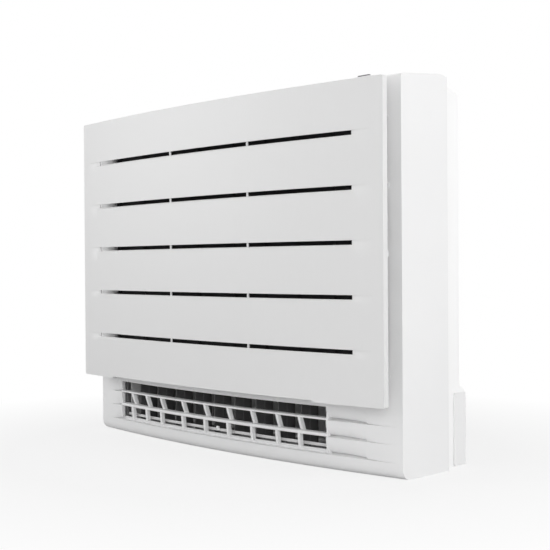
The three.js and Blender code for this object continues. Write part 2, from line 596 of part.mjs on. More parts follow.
// ---- Ducts -----------------------------------------------------------------------------------
const DUCT_LEFT = OUTLET_LEFT - 3;
const DUCT_RIGHT = OUTLET_RIGHT + 5;
const DUCT_FRONT = bodyFront(OUTLET_LEFT) + BAR_DEPTH + FIT;
const DUCT_FLOOR = OUTLET_FLOOR - 6;
const DUCT_CEILING = OUTLET_CEILING + 7;
const SCROLL_BACK = REAR_WALL - WALL - 3;
const PLATE_BOTTOM = DUCT_CEILING + WALL + FIT;
const TOP_DUCT_FRONT = topOutFront + FIT;
const TOP_DUCT_FOOT = WINDOW_TOP + WALL + 5;
const PLATE_TOP_DROP = 11; // below the intake opening's top
const PLATE_TOP = WINDOW_TOP - PLATE_TOP_DROP;
const VANE_X = (count, left, right) => stations(left, right, count).slice(1).map((x, i) =>
  (x + stations(left, right, count)[i]) / 2);
const LOWER_VANES = 10;
const UPPER_VANES = 6;
const lowerVaneX = VANE_X(LOWER_VANES, OUTLET_LEFT, OUTLET_RIGHT);
const upperVaneX = VANE_X(UPPER_VANES, TOP_OUT_LEFT, TOP_OUT_RIGHT);
const VANE_PIVOT_R = 1.6;
const LOWER_VANE_CHORD = 38;
const UPPER_VANE_CHORD = 24;
const VANE_THICK = 1.8;
const VANE_CRANK = 10;
const VANE_SWING = 25;
const LOWER_VANE_Y = DUCT_FRONT + LOWER_VANE_CHORD / 2 + SWING_GAP;
const UPPER_VANE_Y = (topOutFront + topOutBack) / 2;
const RAIL_TOP = TOP_DUCT_FOOT - 5.5;
const FLAP_GAP = 1.2;
const FLAP_PIVOT_R = 1.8;
const FLAP_NOSE = 4;
const FLAP_Y = topOutBack - FLAP_GAP - FLAP_NOSE;
const FLAP_RISE = 5.5; // its skin above its pivot
const FLAP_Z = bodyTop(FLAP_Y) - FLAP_RISE;
const TOP_DUCT_BACK = FLAP_Y + FLAP_RISE + FIT;
const DAMPER_Y = LOWER_VANE_Y + LOWER_VANE_CHORD / 2 + 6;
const DAMPER_Z = DUCT_FLOOR + 6;
const BEND_DEPTH = 70.5; // the duct's bend ahead of its back wall
const BEND_RISE = 90;
const BEND_Y = SCROLL_BACK - BEND_DEPTH;
const DAMPER_REACH = 16.4; // past the start of the bend
const DAMPER_CHORD = BEND_Y + DAMPER_REACH - DAMPER_Y;
const DAMPER_PIVOT_R = 2;

// A bent sheet wall along X: the path's (y, z) points, thickened to one side.
function bentWall(path, thick, span) {
  const shifted = path.map(([y, z], i) => {
    const a = path[Math.max(0, i - 1)];
    const b = path[Math.min(path.length - 1, i + 1)];
    const run = Math.hypot(b[0] - a[0], b[1] - a[1]);
    return [y - ((b[1] - a[1]) / run) * thick, z + ((b[0] - a[0]) / run) * thick];
  });
  return prism("X", [...path, ...shifted.reverse()], span);
}

const arc = ([y, z], ry, rz, from, to, count) => stations(from, to, count).map((a) => {
  const angle = (a * Math.PI) / 180;
  return [y + ry * Math.cos(angle), z + rz * Math.sin(angle)];
});

function lowerDuct() {
  const span = [DUCT_LEFT, DUCT_RIGHT];
  const floor = bentWall([[DUCT_FRONT, DUCT_FLOOR], ...arc([BEND_Y, DUCT_FLOOR + BEND_RISE],
    BEND_DEPTH, BEND_RISE, -90, 0, 8)], -WALL, span);
  const ceiling = box(span, [DUCT_FRONT, PLATE_BACK + 6], [DUCT_CEILING, DUCT_CEILING + WALL]);
  const cheeks = [[DUCT_LEFT, DUCT_LEFT + WALL], [DUCT_RIGHT - WALL, DUCT_RIGHT]].map((x) =>
    prism("X", [[DUCT_FRONT, WALL + FIT], [SCROLL_BACK, WALL + FIT], [SCROLL_BACK, DUCT_FLOOR + BEND_RISE],
      [PLATE_BACK + 6, DUCT_CEILING + WALL], [DUCT_FRONT, DUCT_CEILING + WALL]], x));
  const lipY = (x, t) => {
    const near = bodyFront(x) + BAR_DEPTH + FIT;
    return near + t * (DUCT_FRONT + 1 - near);
  };
  const tongue = (z) => skin(stations(...span, 12), [0, 1],
    (x, t) => [x, lipY(x, t), z], (x, t) => [x, lipY(x, t), z + WALL]);
  const tongues = [tongue(DUCT_FLOOR - WALL), tongue(DUCT_CEILING)];
  const bearing = rod("X", [DAMPER_Y, DAMPER_Z], DAMPER_PIVOT_R + FIT, [DUCT_LEFT - 1, DUCT_RIGHT + 1], 12);
  const pivots = lowerVaneX.flatMap((x) => [[DUCT_FLOOR - WALL - 1, DUCT_FLOOR + 2],
    [DUCT_CEILING - 1, DUCT_CEILING + WALL + 1]].map((z) =>
    rod("Z", [x, LOWER_VANE_Y], VANE_PIVOT_R + FIT, z, 6)));
  return cut(join(floor, ceiling, cheeks, tongues), pivots, bearing);
}
add("lower_duct", lowerDuct(), WHITE);

function upperDuct() {
  const span = [TOP_OUT_LEFT - 2, TOP_OUT_RIGHT + 2];
  const roof = (y) => bodyTop(y) - WALL - FIT;
  const front = bentWall([[TOP_DUCT_FRONT, roof(TOP_DUCT_FRONT)], [TOP_DUCT_FRONT, TOP_DUCT_FOOT],
    [PLATE_FRONT, PLATE_TOP + FIT], [PLATE_BACK + 6, PLATE_TOP + FIT]], WALL, span);
  const back = bentWall([[TOP_DUCT_BACK, roof(TOP_DUCT_BACK) - 3], [TOP_DUCT_BACK + 10, roof(0) - 8],
    ...arc([BEND_Y, REAR_TOP - 70], BEND_DEPTH, 50, 90, 0, 7)], WALL, span);
  const rail = box(span, [UPPER_VANE_Y - 3, UPPER_VANE_Y + 3], [RAIL_TOP - 5, RAIL_TOP]);
  const pivots = upperVaneX.map((x) =>
    rod("Z", [x, UPPER_VANE_Y], VANE_PIVOT_R + FIT, [RAIL_TOP - 8, RAIL_TOP + 1], 10));
  const bearing = rod("X", [FLAP_Y, FLAP_Z], FLAP_PIVOT_R + FIT, [span[0] - 1, span[1] + 1], 12);
  const snap = box([span[0] - 1, span[1] + 1], [FLAP_Y - 1.6, FLAP_Y + 1.6], [FLAP_Z, HEIGHT]);
  const cheeks = [[span[0], span[0] + WALL], [span[1] - WALL, span[1]]].map((x) =>
    prism("X", [[TOP_DUCT_FRONT, roof(TOP_DUCT_FRONT)], [TOP_DUCT_FRONT, TOP_DUCT_FOOT],
      [PLATE_FRONT, PLATE_TOP + FIT], [PLATE_BACK + 6, PLATE_TOP + FIT], [SCROLL_BACK, PLATE_TOP - 45],
      ...arc([BEND_Y, REAR_TOP - 70], BEND_DEPTH, 50, 0, 90, 7),
      [TOP_DUCT_BACK + 10, roof(0) - 8], [TOP_DUCT_BACK, roof(TOP_DUCT_BACK)]], x));
  return cut(join(front, back, cheeks, rail), pivots, bearing, snap);
}
add("upper_duct", upperDuct(), WHITE);

// ---- Bell mouth plate ---------------------------------------------------------------------------
// Turns a profile of (radius, y) pairs about the fan's axis.
function turned(profile, sides = 28) {
  const points = [...profile, profile[0]].map(([r, y]) => new THREE.Vector2(r, y));
  const geometry = new THREE.LatheGeometry(points, sides);
  geometry.translate(FAN_X, 0, FAN_Z);
  const body = solid(geometry);
  return body.volume() < 0 ? solid(flipped(geometry)) : body;
}

function flipped(geometry) {
  const copy = geometry.clone();
  copy.setIndex(Array.from(copy.index.array).reverse());
  return copy;
}

const FAN_FRONT = PLATE_BACK + 8;
const FAN_BACK = FAN_FRONT + FAN_DEPTH;
const BELL_LIP = FAN_EYE - 6;
const LIP_END = PLATE_BACK + 10;

function bellMouth() {
  const plate = box([-REAR_INNER + FIT, PARTITION_X - FIT], [PLATE_FRONT, PLATE_BACK],
    [PLATE_BOTTOM, PLATE_TOP]);
  const hole = rod("Y", [FAN_Z, FAN_X], BELL_LIP + 22, [PLATE_FRONT - 1, PLATE_BACK + 1], 28);
  const lip = turned([[BELL_LIP + 24, PLATE_FRONT], [BELL_LIP + 24, PLATE_BACK],
    [BELL_LIP + 7, PLATE_BACK + 0.2], [BELL_LIP + 1.5, PLATE_BACK + 4.5], [BELL_LIP + 1.5, LIP_END],
    [BELL_LIP, LIP_END], [BELL_LIP, PLATE_FRONT + 7], [BELL_LIP + 8, PLATE_FRONT]]);
  return join(cut(plate, hole), lip);
}
add("bell_mouth", bellMouth(), WHITE);

// ---- Turbo fan: back plate with a domed hub, swept blades and a flared shroud ----------------
const HUB_R = MOTOR_RADIUS + 6;
const DOME_FRONT = FAN_FRONT + 8;
const FAN_WALL = 2.2;

function fanBlade(i) {
  const start = (2 * Math.PI * i) / FAN_BLADES;
  const inner = FAN_EYE - 34;
  const sweep = 0.62;
  const ts = stations(0, 1, 7);
  const centre = (t) => {
    const r = inner + (FAN_RADIUS - 3 - inner) * t;
    const a = start + sweep * t ** 1.25;
    return [r, a];
  };
  const side = (t, way) => {
    const [r, a] = centre(t);
    const half = (0.6 + 2.6 * Math.sin(Math.PI * Math.min(1, 0.12 + 0.88 * t)) ** 0.8) / 2;
    return [FAN_Z + r * Math.cos(a + (way * half) / r), FAN_X + r * Math.sin(a + (way * half) / r)];
  };
  const points = [...ts.map((t) => side(t, 1)), ...[...ts].reverse().map((t) => side(t, -1))];
  return prism("Y", points, [FAN_FRONT - 6, FAN_BACK - FAN_WALL / 2]);
}

function turboFan() {
  const shroudFront = FAN_FRONT - 2;
  const bore = SHAFT_RADIUS + 0.4;
  const plate = turned([[bore, DOME_FRONT - 4], [HUB_R * 0.3, DOME_FRONT - 4], [HUB_R * 0.72, DOME_FRONT],
    [HUB_R + 2, DOME_FRONT + 14], [HUB_R + 8, FAN_BACK - 6], [HUB_R + 14, FAN_BACK - FAN_WALL],
    [FAN_RADIUS, FAN_BACK - FAN_WALL], [FAN_RADIUS, FAN_BACK], [HUB_R + 12, FAN_BACK],
    [HUB_R + 5.5, FAN_BACK - 5], [HUB_R - 0.5, DOME_FRONT + 15], [HUB_R * 0.7, DOME_FRONT + 2.4],
    [bore, DOME_FRONT + 1]]);
  const shroud = turned([[FAN_EYE - 3, shroudFront], [FAN_EYE - 1, shroudFront],
    [FAN_EYE + 4, shroudFront + 6], [FAN_RADIUS, shroudFront + 12], [FAN_RADIUS, shroudFront + 14],
    [FAN_EYE + 3, shroudFront + 8], [FAN_EYE - 3, shroudFront + 3]]);
  const under = turned([[HUB_R - 10, LIP_END + 2], [FAN_EYE - 3, LIP_END + 2],
    [FAN_EYE - 3, shroudFront + 2.9], [FAN_EYE + 3, shroudFront + 7.5], [FAN_RADIUS, shroudFront + 13.5],
    [FAN_RADIUS, FAN_BACK - 1], [HUB_R + 10, FAN_BACK - 1]]);
  const blades = Array.from({ length: FAN_BLADES }, (_, i) => fanBlade(i));
  return join(plate, shroud, blades.map((blade) => blade.intersect(under)));
}
add("turbo_fan", turboFan(), GREY);

const MOTOR_FRONT = DOME_FRONT + 8;
const MOTOR_BACK = REAR_WALL - WALL - 6;

function fanMotor() {
  const shaft = rod("Y", [FAN_Z, FAN_X], SHAFT_RADIUS, [DOME_FRONT - 8, MOTOR_FRONT + 1], 20);
  const can = MOTOR_RADIUS - 5;
  const body = turned([[0, MOTOR_FRONT], [MOTOR_RADIUS * 0.6, MOTOR_FRONT], [can - 3, MOTOR_FRONT + 5],
    [can, MOTOR_FRONT + 12], [can, MOTOR_BACK], [0, MOTOR_BACK]], 32);
  return join(shaft, body);
}
add("fan_motor", fanMotor(), STEEL);

function motorClamp() {
  const y = [MOTOR_BACK + 0.3, REAR_WALL - WALL - 0.3];
  const plate = rod("Y", [FAN_Z, FAN_X], MOTOR_RADIUS, y, 32);
  const arms = [0, 60, 120].map((turn) => {
    const a = (turn * Math.PI) / 180;
    const across = [Math.cos(a), Math.sin(a)];
    const reach = MOTOR_RADIUS + 28;
    const corners = [[1, 1], [1, -1], [-1, -1], [-1, 1]].map(([p, q]) => [
      FAN_Z + p * reach * across[0] - q * 9 * across[1],
      FAN_X + p * reach * across[1] + q * 9 * across[0]]);
    return prism("Y", corners, y);
  });
  return join(plate, arms);
}
add("motor_clamp", motorClamp(), STEEL);

// ---- Heat exchanger --------------------------------------------------------------------------------
const COIL_BACK = PLATE_FRONT - 0.3;
const COIL_FRONT = COIL_BACK - COIL_THICK;
const FIN_GROOVES = 18;
const TUBE_R = 3.5;
const BEND_PITCH = 48;

function finPack() {
  const pack = box([COIL_LEFT + SHEET_METAL + 0.3, COIL_RIGHT - SHEET_METAL - 0.3],
    [COIL_FRONT, COIL_BACK], [COIL_BOTTOM, COIL_TOP]);
  const pitch = (COIL_RIGHT - COIL_LEFT) / (FIN_GROOVES + 1);
  const grooves = Array.from({ length: FIN_GROOVES }, (_, i) => {
    const x = COIL_LEFT + pitch * (i + 1);
    return box([x - 1.5, x + 1.5], [COIL_FRONT - 1, COIL_FRONT + 4], [COIL_BOTTOM - 1, COIL_TOP + 1]);
  });
  return cut(pack, grooves);
}
add("fin_pack", finPack(), ALUMINIUM);

// An end plate with the hairpin bends that join one tube row to the next.
function coilEnd(x, way) {
  const plate = box([x, x + way * SHEET_METAL].sort((a, b) => a - b), [COIL_FRONT - 2, COIL_BACK],
    [COIL_BOTTOM - 2, COIL_TOP + 2]);
  const count = Math.floor((COIL_TOP - COIL_BOTTOM - 30) / BEND_PITCH);
  const middle = (COIL_FRONT + COIL_BACK) / 2;
  const bends = Array.from({ length: count }, (_, i) => {
    const z = COIL_BOTTOM + 24 + i * BEND_PITCH;
    const path = new THREE.CurvePath();
    const from = new THREE.Vector3(x + way * 0.5, middle, z);
    const to = from.clone().setZ(z + BEND_PITCH / 2);
    const reach = new THREE.Vector3(way * 20, 0, 0);
    path.add(new THREE.CubicBezierCurve3(from, from.clone().add(reach), to.clone().add(reach), to));
    return tube(path, TUBE_R, 4, 6);
  });
  return join(plate, bends);
}

// A round tube along a curve, with closed ends.
function tube(curve, radius, steps, sides = 8) {
  const ring = new THREE.Shape(Array.from({ length: sides }, (_, i) => {
    const turn = (2 * Math.PI * i) / sides;
    return new THREE.Vector2(radius * Math.cos(turn), radius * Math.sin(turn));
  }));
  const geometry = new THREE.ExtrudeGeometry(ring, { steps, extrudePath: curve, bevelEnabled: false });
  const body = solid(geometry);
  return body.volume() < 0 ? solid(flippedLoose(geometry)) : body;
}

function flippedLoose(geometry) {
  const bare = geometry.clone();
  bare.deleteAttribute("normal");
  bare.deleteAttribute("uv");
  const welded = mergeVertices(bare, 1e-4);
  welded.setIndex(Array.from(welded.index.array).reverse());
  return welded;
}
add("coil_end_left", coilEnd(COIL_LEFT, -1), COPPER);
add("coil_end_right", coilEnd(COIL_RIGHT, 1), COPPER);

// ---- Drain pan --------------------------------------------------------------------------------------
const PAN_TOP = COIL_BOTTOM + 8;
const PAN_FLOOR = DUCT_CEILING + WALL + 3;
const PAN_FRONT = COIL_FRONT - 2 - FIT - WALL;

function drainPan() {
  const span = [COIL_LEFT - 22, COIL_RIGHT + 34];
  const outer = prism("X", [[PAN_FRONT, PAN_TOP], [PAN_FRONT, PAN_FLOOR + 12], [PAN_FRONT + 10, PAN_FLOOR],
    [COIL_BACK, PAN_FLOOR], [COIL_BACK, COIL_BOTTOM - 4],
    [COIL_BACK - WALL - 1, COIL_BOTTOM - 4]], span);
  const hollow = prism("X", [[PAN_FRONT + WALL, PAN_TOP + 20], [PAN_FRONT + WALL, PAN_FLOOR + 13],
    [PAN_FRONT + 11, PAN_FLOOR + WALL], [COIL_BACK - WALL, PAN_FLOOR + WALL],
    [COIL_BACK - WALL, PAN_TOP + 20]], [span[0] + WALL, span[1] - WALL]);
  const rests = stations(COIL_LEFT + 60, COIL_RIGHT - 35, 4).map((x) => box([x - 1.5, x + 1.5],
    [PAN_FRONT + WALL - 1, COIL_BACK - WALL + 1], [PAN_FLOOR + 1, COIL_BOTTOM - 2 - FIT]));
  const spout = cut(rod("X", [PAN_FRONT + 18, PAN_FLOOR + 9], 8, [span[1] - 1, span[1] + 26], 16));
  const bore = rod("X", [PAN_FRONT + 18, PAN_FLOOR + 9], 6, [span[1] - WALL - 1, span[1] + 27], 16);
  const tray = cut(join(cut(outer, hollow), spout), bore);
  return join(tray, rests);
}
add("drain_pan", drainPan(), GREY);

// ---- Filters --------------------------------------------------------------------------------------------
const FILTER_THICK = 4;
const FILTER_BACK = TUNNEL_END - WALL - 0.3;
const FILTER_CELLS = [4, 7];
const DEODORISER_HALF = 140;
const DEODORISER_Z = [COIL_TOP - 86, COIL_TOP - 26];
const DEODORISER_RIM = 6;

function airFilter(from, to) {
  const z = [WINDOW_BOTTOM + 0.3, WINDOW_TOP - 0.3];
  const y = [FILTER_BACK - FILTER_THICK, FILTER_BACK];
  const frame = box([from, to], y, z);
  const rim = 7;
  const rib = 2.4;
  const [nx, nz] = FILTER_CELLS;
  const xs = stations(from + rim, to - rim, nx);
  const zs = stations(z[0] + rim, z[1] - rim, nz);
  const pockets = [];
  for (let i = 0; i < nx; i++) {
    for (let j = 0; j < nz; j++) {
      pockets.push(box([xs[i] + rib / 2, xs[i + 1] - rib / 2], [y[0] - 1, y[1] - 1],
        [zs[j] + rib / 2, zs[j + 1] - rib / 2]));
    }
  }
  return cut(frame, pockets);
}
add("air_filter_left", airFilter(-WINDOW_HALF + 0.3, -0.3), DARK);
add("air_filter_right", airFilter(0.3, WINDOW_HALF - 0.3), DARK);

function deodorisingFilter() {
  const y = [TUNNEL_END - WALL + 0.3, TUNNEL_END - 0.3 + 1.2];
  const body = box([-DEODORISER_HALF, DEODORISER_HALF], y, DEODORISER_Z);
  const cells = stations(10 - DEODORISER_HALF, DEODORISER_HALF - 30, 12).map((x) => box([x, x + 16],
    [y[0] - 1, y[0] + 1.6], [DEODORISER_Z[0] + DEODORISER_RIM, DEODORISER_Z[1] - DEODORISER_RIM]));
  return cut(body, cells);
}
add("deodorising_filter", deodorisingFilter(), DARK);

// ---- Electrical box -------------------------------------------------------------------------
const BOX_X = [PARTITION_X + WALL + 14, REAR_INNER - 4];
const BOX_Y = [PLATE_FRONT + 4, PLATE_FRONT + 74];
const BOX_Z = [175, PLATE_TOP];

function controlBox() {
  const shell = cut(box(BOX_X, BOX_Y, BOX_Z), box([BOX_X[0] + SHEET_METAL, BOX_X[1] - SHEET_METAL],
    [BOX_Y[0] - 1, BOX_Y[1] - SHEET_METAL], [BOX_Z[0] + SHEET_METAL, BOX_Z[1] - SHEET_METAL]));
  const strap = box([PARTITION_X + WALL + 0.3, BOX_X[0] + 1], [BOX_Y[1] - 20, BOX_Y[1] - 17],
    [BOX_Z[0] + 40, BOX_Z[0] + 70]);
  const posts = [BOX_Z[0] + 60, BOX_Z[1] - 70].map((z) => box([BOX_X[0] + 30, BOX_X[0] + 36],
    [BOX_Y[1] - 13.7, BOX_Y[1] - 1], [z, z + 6]));
  return join(shell, strap, posts);
}
add("control_box", controlBox(), STEEL);
add("control_box_lid", join(box(BOX_X, [BOX_Y[0] - 0.3 - SHEET_METAL, BOX_Y[0] - 0.3], BOX_Z),
  box([BOX_X[0] + 10, BOX_X[1] - 10], [BOX_Y[0] - 3.6, BOX_Y[0] - 1],
    [BOX_Z[0] + 60, BOX_Z[1] - 60])), STEEL);

function circuitBoard() {
  const board = box([BOX_X[0] + 5, BOX_X[1] - 5], [BOX_Y[1] - 16, BOX_Y[1] - 14],
    [BOX_Z[0] + 50, BOX_Z[1] - 30]);
  const parts = [[10, 90, 30, 30, 20], [45, 120, 22, 18, 16], [12, 170, 26, 40, 24], [48, 210, 20, 30, 12],
    [16, 250, 40, 14, 10]].map(([x, z, w, h, d]) => box([BOX_X[0] + x, BOX_X[0] + x + w],
    [BOX_Y[1] - 15 - d, BOX_Y[1] - 15], [BOX_Z[0] + z, BOX_Z[0] + z + h]));
  return join(board, parts);
}
add("circuit_board", circuitBoard(), GREEN);

function terminalBlock() {
  const z = [BOX_Z[0] + 8, BOX_Z[0] + 34];
  const block = box([BOX_X[0] + 8, BOX_X[1] - 8], [BOX_Y[1] - 18, BOX_Y[1] - SHEET_METAL - 0.3], z);
  const pockets = stations(BOX_X[0] + 12, BOX_X[1] - 30, 3).map((x) =>
    box([x, x + 12], [BOX_Y[1] - 19, BOX_Y[1] - 10], [z[0] + 6, z[1] - 6]));
  return cut(block, pockets);
}
add("terminal_block", terminalBlock(), DARK);

// ---- Display, button and switches -------------------------------------------------------------------------
function displayHousing() {
  const roof = (y) => bodyTop(y) - WALL - FIT;
  const [y0, y1] = DISPLAY_Y;
  const outline = [[y0, bodyTop(y0) + 0.3], [y1, bodyTop(y1) + 0.3], [y1, bodyTop(y0) + DISPLAY_RISE + 1],
    [y0 + 2, bodyTop(y0) + DISPLAY_RISE], [y0, bodyTop(y0) + DISPLAY_RISE - 1.2]];
  const cap = prism("X", outline, DISPLAY_X);
  const stem = box([DISPLAY_X[0] + 3 + FIT, DISPLAY_X[1] - 3 - FIT], [y0 + 5 + FIT, y1 - 3 - FIT],
    [roof(y0) - 8, bodyTop(y0) + 2]);
  return join(cap, stem);
}
add("display_housing", displayHousing(), WHITE);
const WINDOW_LIFT = 1.4;
{
  const [y0, y1] = DISPLAY_Y;
  const z = bodyTop(y0) + DISPLAY_RISE + 1 + 0.3;
  add("display_window", prism("X", [[y0 + 1, z - 0.6], [y0 + 2.2, z - 0.4], [y1, z], [y1, z + WINDOW_LIFT],
    [y0 + 1, z + WINDOW_LIFT - 0.4]], DISPLAY_X), FILM);
}

function powerButton() {
  const face = bodyFront(BUTTON_X);
  return join(rod("Y", [BUTTON_Z, BUTTON_X], BUTTON_R, [face - 1.4, face + WALL + 6], 16),
    rod("Y", [BUTTON_Z, BUTTON_X], BUTTON_R + 2, [face + WALL + 2.5, face + WALL + 5], 16));
}
add("power_button", powerButton(), GREY);

function outletSwitch() {
  const face = bodyFront(BUTTON_X);
  const x = [BUTTON_X - SWITCH_KNOB[0] / 2, BUTTON_X + SWITCH_KNOB[0] / 2];
  const z = [SWITCH_Z - SWITCH_KNOB[1] / 2, SWITCH_Z + SWITCH_KNOB[1] / 2];
  return join(box(x, [face - 2, face + WALL + 3], z),
    box([x[0] - 3, x[1] + 3], [face + WALL + 1, face + WALL + 4], [z[0] - 4, z[1] + 4]));
}
add("outlet_switch", outletSwitch(), GREY);

for (const [name, side] of [["panel_stopper_left", -1], ["panel_stopper_right", 1]]) {
  const x = [side * STOPPER_X - STOPPER_KNOB[0] / 2, side * STOPPER_X + STOPPER_KNOB[0] / 2];
  const face = bodyFront(STOPPER_X);
  const z = [STOPPER_Z - STOPPER_KNOB[1] / 2, STOPPER_Z + STOPPER_KNOB[1] / 2];
  add(name, join(box(x, [face - 6, face + WALL + STOPPER_LIP + 1], z),
    box([x[0] - 3, x[1] + 3], [face + WALL + STOPPER_LIP, face + WALL + STOPPER_LIP + 2],
      [z[0] - 3, z[1] + 3])), GREY);
}

[-1, 1].forEach((side) => SCREW_Z.forEach((z) => {
  const face = bodyFront(SCREW_X) - 1;
  const screw = join(rod("Y", [z, side * SCREW_X], SCREW_R, [face - 1, BASE_FRONT - 9], 8),
    rod("Y", [z, side * SCREW_X], SCREW_HEAD, [face - 2.2, face], 12));
  add(`casing_screw_${side < 0 ? "left" : "right"}_${z < HEIGHT / 2 ? "low" : "high"}`, screw, STEEL);
}));

// ---- Upper flap, vanes, link bars, damper and their motors ---------------------------------------
function upperFlap() {
  const span = [TOP_OUT_LEFT + FLAP_GAP, TOP_OUT_RIGHT - FLAP_GAP];
  const front = topOutFront + FLAP_GAP;
  const ys = stations(front, FLAP_Y, 4);
  const nose = arc([FLAP_Y, FLAP_Z], FLAP_NOSE, bodyTop(FLAP_Y) - FLAP_Z, 75, 0, 4);
  const under = arc([FLAP_Y, FLAP_Z], FLAP_NOSE, 3, 0, -90, 3).slice(1);
  const outline = [...ys.map((y) => [y, bodyTop(y)]), ...nose, ...under, [front + 6, bodyTop(front) - 4],
    [front, bodyTop(front) - 1.4]];
  return join(prism("X", outline, span), rod("X", [FLAP_Y, FLAP_Z], FLAP_PIVOT_R,
    [TOP_OUT_LEFT - 1.6, TOP_OUT_RIGHT + 1.6], 12));
}
add("upper_flap", upperFlap(), WHITE);

// An upright vane with its pivot and the crank pin that the link bar drives.
function vane(x, y, chord, blade, pivotSpan, pinSpan) {
  return join(box([x - VANE_THICK / 2, x + VANE_THICK / 2], [y - chord / 2, y + chord / 2], blade),
    rod("Z", [x, y], VANE_PIVOT_R, pivotSpan, 6), rod("Z", [x, y + VANE_CRANK], 1, pinSpan, 6));
}

function linkBar(xs, y, z) {
  const bar = box([xs[0] - 8, xs[xs.length - 1] + 8], [y + VANE_CRANK - 3.6, y + VANE_CRANK + 2.8],
    [z, z + LINK_THICK]);
  const slots = xs.map((x) => box([x - 1.4, x + 1.4], [y + VANE_CRANK - 2.6, y + VANE_CRANK + 1.5],
    [z - 1, z + LINK_THICK + 1]));
  return cut(bar, slots);
}

const LINK_THICK = 1.6;
const LINK_ROOM = 6;
const lowerTop = DUCT_CEILING - LINK_ROOM;
lowerVaneX.forEach((x, i) => add(`lower_vane_${i + 1}`, vane(x, LOWER_VANE_Y,
  LOWER_VANE_CHORD, [DUCT_FLOOR + SWING_GAP, lowerTop], [DUCT_FLOOR - 2, DUCT_CEILING + 2],
  [lowerTop - 1, DUCT_CEILING - 0.8]), DARK));
add("lower_vane_link", linkBar(lowerVaneX, LOWER_VANE_Y, lowerTop + 2), DARK);

const upperLow = RAIL_TOP + LINK_ROOM - 1;
const upperHigh = bodyTop(topOutFront) - 9;
upperVaneX.forEach((x, i) => add(`upper_vane_${i + 1}`, vane(x, UPPER_VANE_Y,
  UPPER_VANE_CHORD, [upperLow, upperHigh], [RAIL_TOP - 4, upperLow + 1],
  [RAIL_TOP + 0.6, upperLow + 1]), WHITE));
add("upper_vane_link", linkBar(upperVaneX, UPPER_VANE_Y, RAIL_TOP + 1.6), WHITE);

function lowerDamper() {
  const span = [OUTLET_LEFT + SWING_GAP + 1, OUTLET_RIGHT - SWING_GAP + 1];
  const outline = [...arc([DAMPER_Y, DAMPER_Z], 3, 3, 90, 270, 6), [DAMPER_Y + DAMPER_CHORD, DAMPER_Z - 1],
    [DAMPER_Y + DAMPER_CHORD, DAMPER_Z + 0.4], [DAMPER_Y + 12, DAMPER_Z + 1.4]];
  return join(prism("X", outline, span), rod("X", [DAMPER_Y, DAMPER_Z], DAMPER_PIVOT_R,
    [DUCT_LEFT + 0.5, DUCT_RIGHT - 0.5], 12));
}
add("lower_damper", lowerDamper(), WHITE);

const MOTOR_CAN = 10;
add("flap_motor", join(rod("X", [topOutFront + 17, bodyTop(topOutFront) - 14], MOTOR_CAN,
  [TOP_OUT_RIGHT + 2.3, TOP_OUT_RIGHT + 14], 20),
box([TOP_OUT_RIGHT + 2.3, TOP_OUT_RIGHT + 5], [topOutFront + 17, FLAP_Y + 3],
  [FLAP_Z - 8, FLAP_Z + 1])), STEEL);
add("damper_motor", rod("X", [DAMPER_Y, DAMPER_Z + 2], MOTOR_CAN,
  [DUCT_RIGHT + 0.3, PARTITION_X - FIT], 20), STEEL);

// ---- Refrigerant pipes: from the coil's right end, across the box and down to the rear corner ----
function linePipe(radius, startZ, exitX, nutR) {
  const y = (COIL_FRONT + COIL_BACK) / 2;
  const x0 = COIL_RIGHT + SHEET_METAL + 0.3;
  const points = [[x0, y, startZ], [x0 + 26, y, startZ], [exitX - 20, y, startZ - 6],
    [exitX - 4, y, startZ - 18], [exitX, y, startZ - 40], [exitX, y, 150], [exitX, y + 6, 128],
    [exitX, y + 24, 112], [exitX, y + 44, 100], [exitX, y + 52, 84], [exitX, y + 54, 40]];
  const curve = new THREE.CatmullRomCurve3(points.map((p) => new THREE.Vector3(...p)), false, "centripetal");
  const [nutX, nutY, nutZ] = points[points.length - 1];
  return join(tube(curve, radius, 20, 6), rod("Z", [nutX, nutY], nutR, [nutZ - 14, nutZ + 4], 6));
}
const PIPE_MARGINS = [54.5, 30.5]; // liquid and gas pipe, in from the rear casing's wall
add("liquid_pipe", linePipe(3.2, COIL_BOTTOM + 60, REAR_INNER - PIPE_MARGINS[0], 7.5), COPPER);
add("gas_pipe", linePipe(4.8, COIL_BOTTOM + 108, REAR_INNER - PIPE_MARGINS[1], 9.5), COPPER);

export default unit;
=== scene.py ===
"""A slim floor standing air conditioner in a plain white studio.

Everything is in metres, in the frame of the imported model: +X right, +Y back, +Z up.
"""
import json
import math

import bmesh
import bpy
import numpy as np
from mathutils import Matrix, Vector


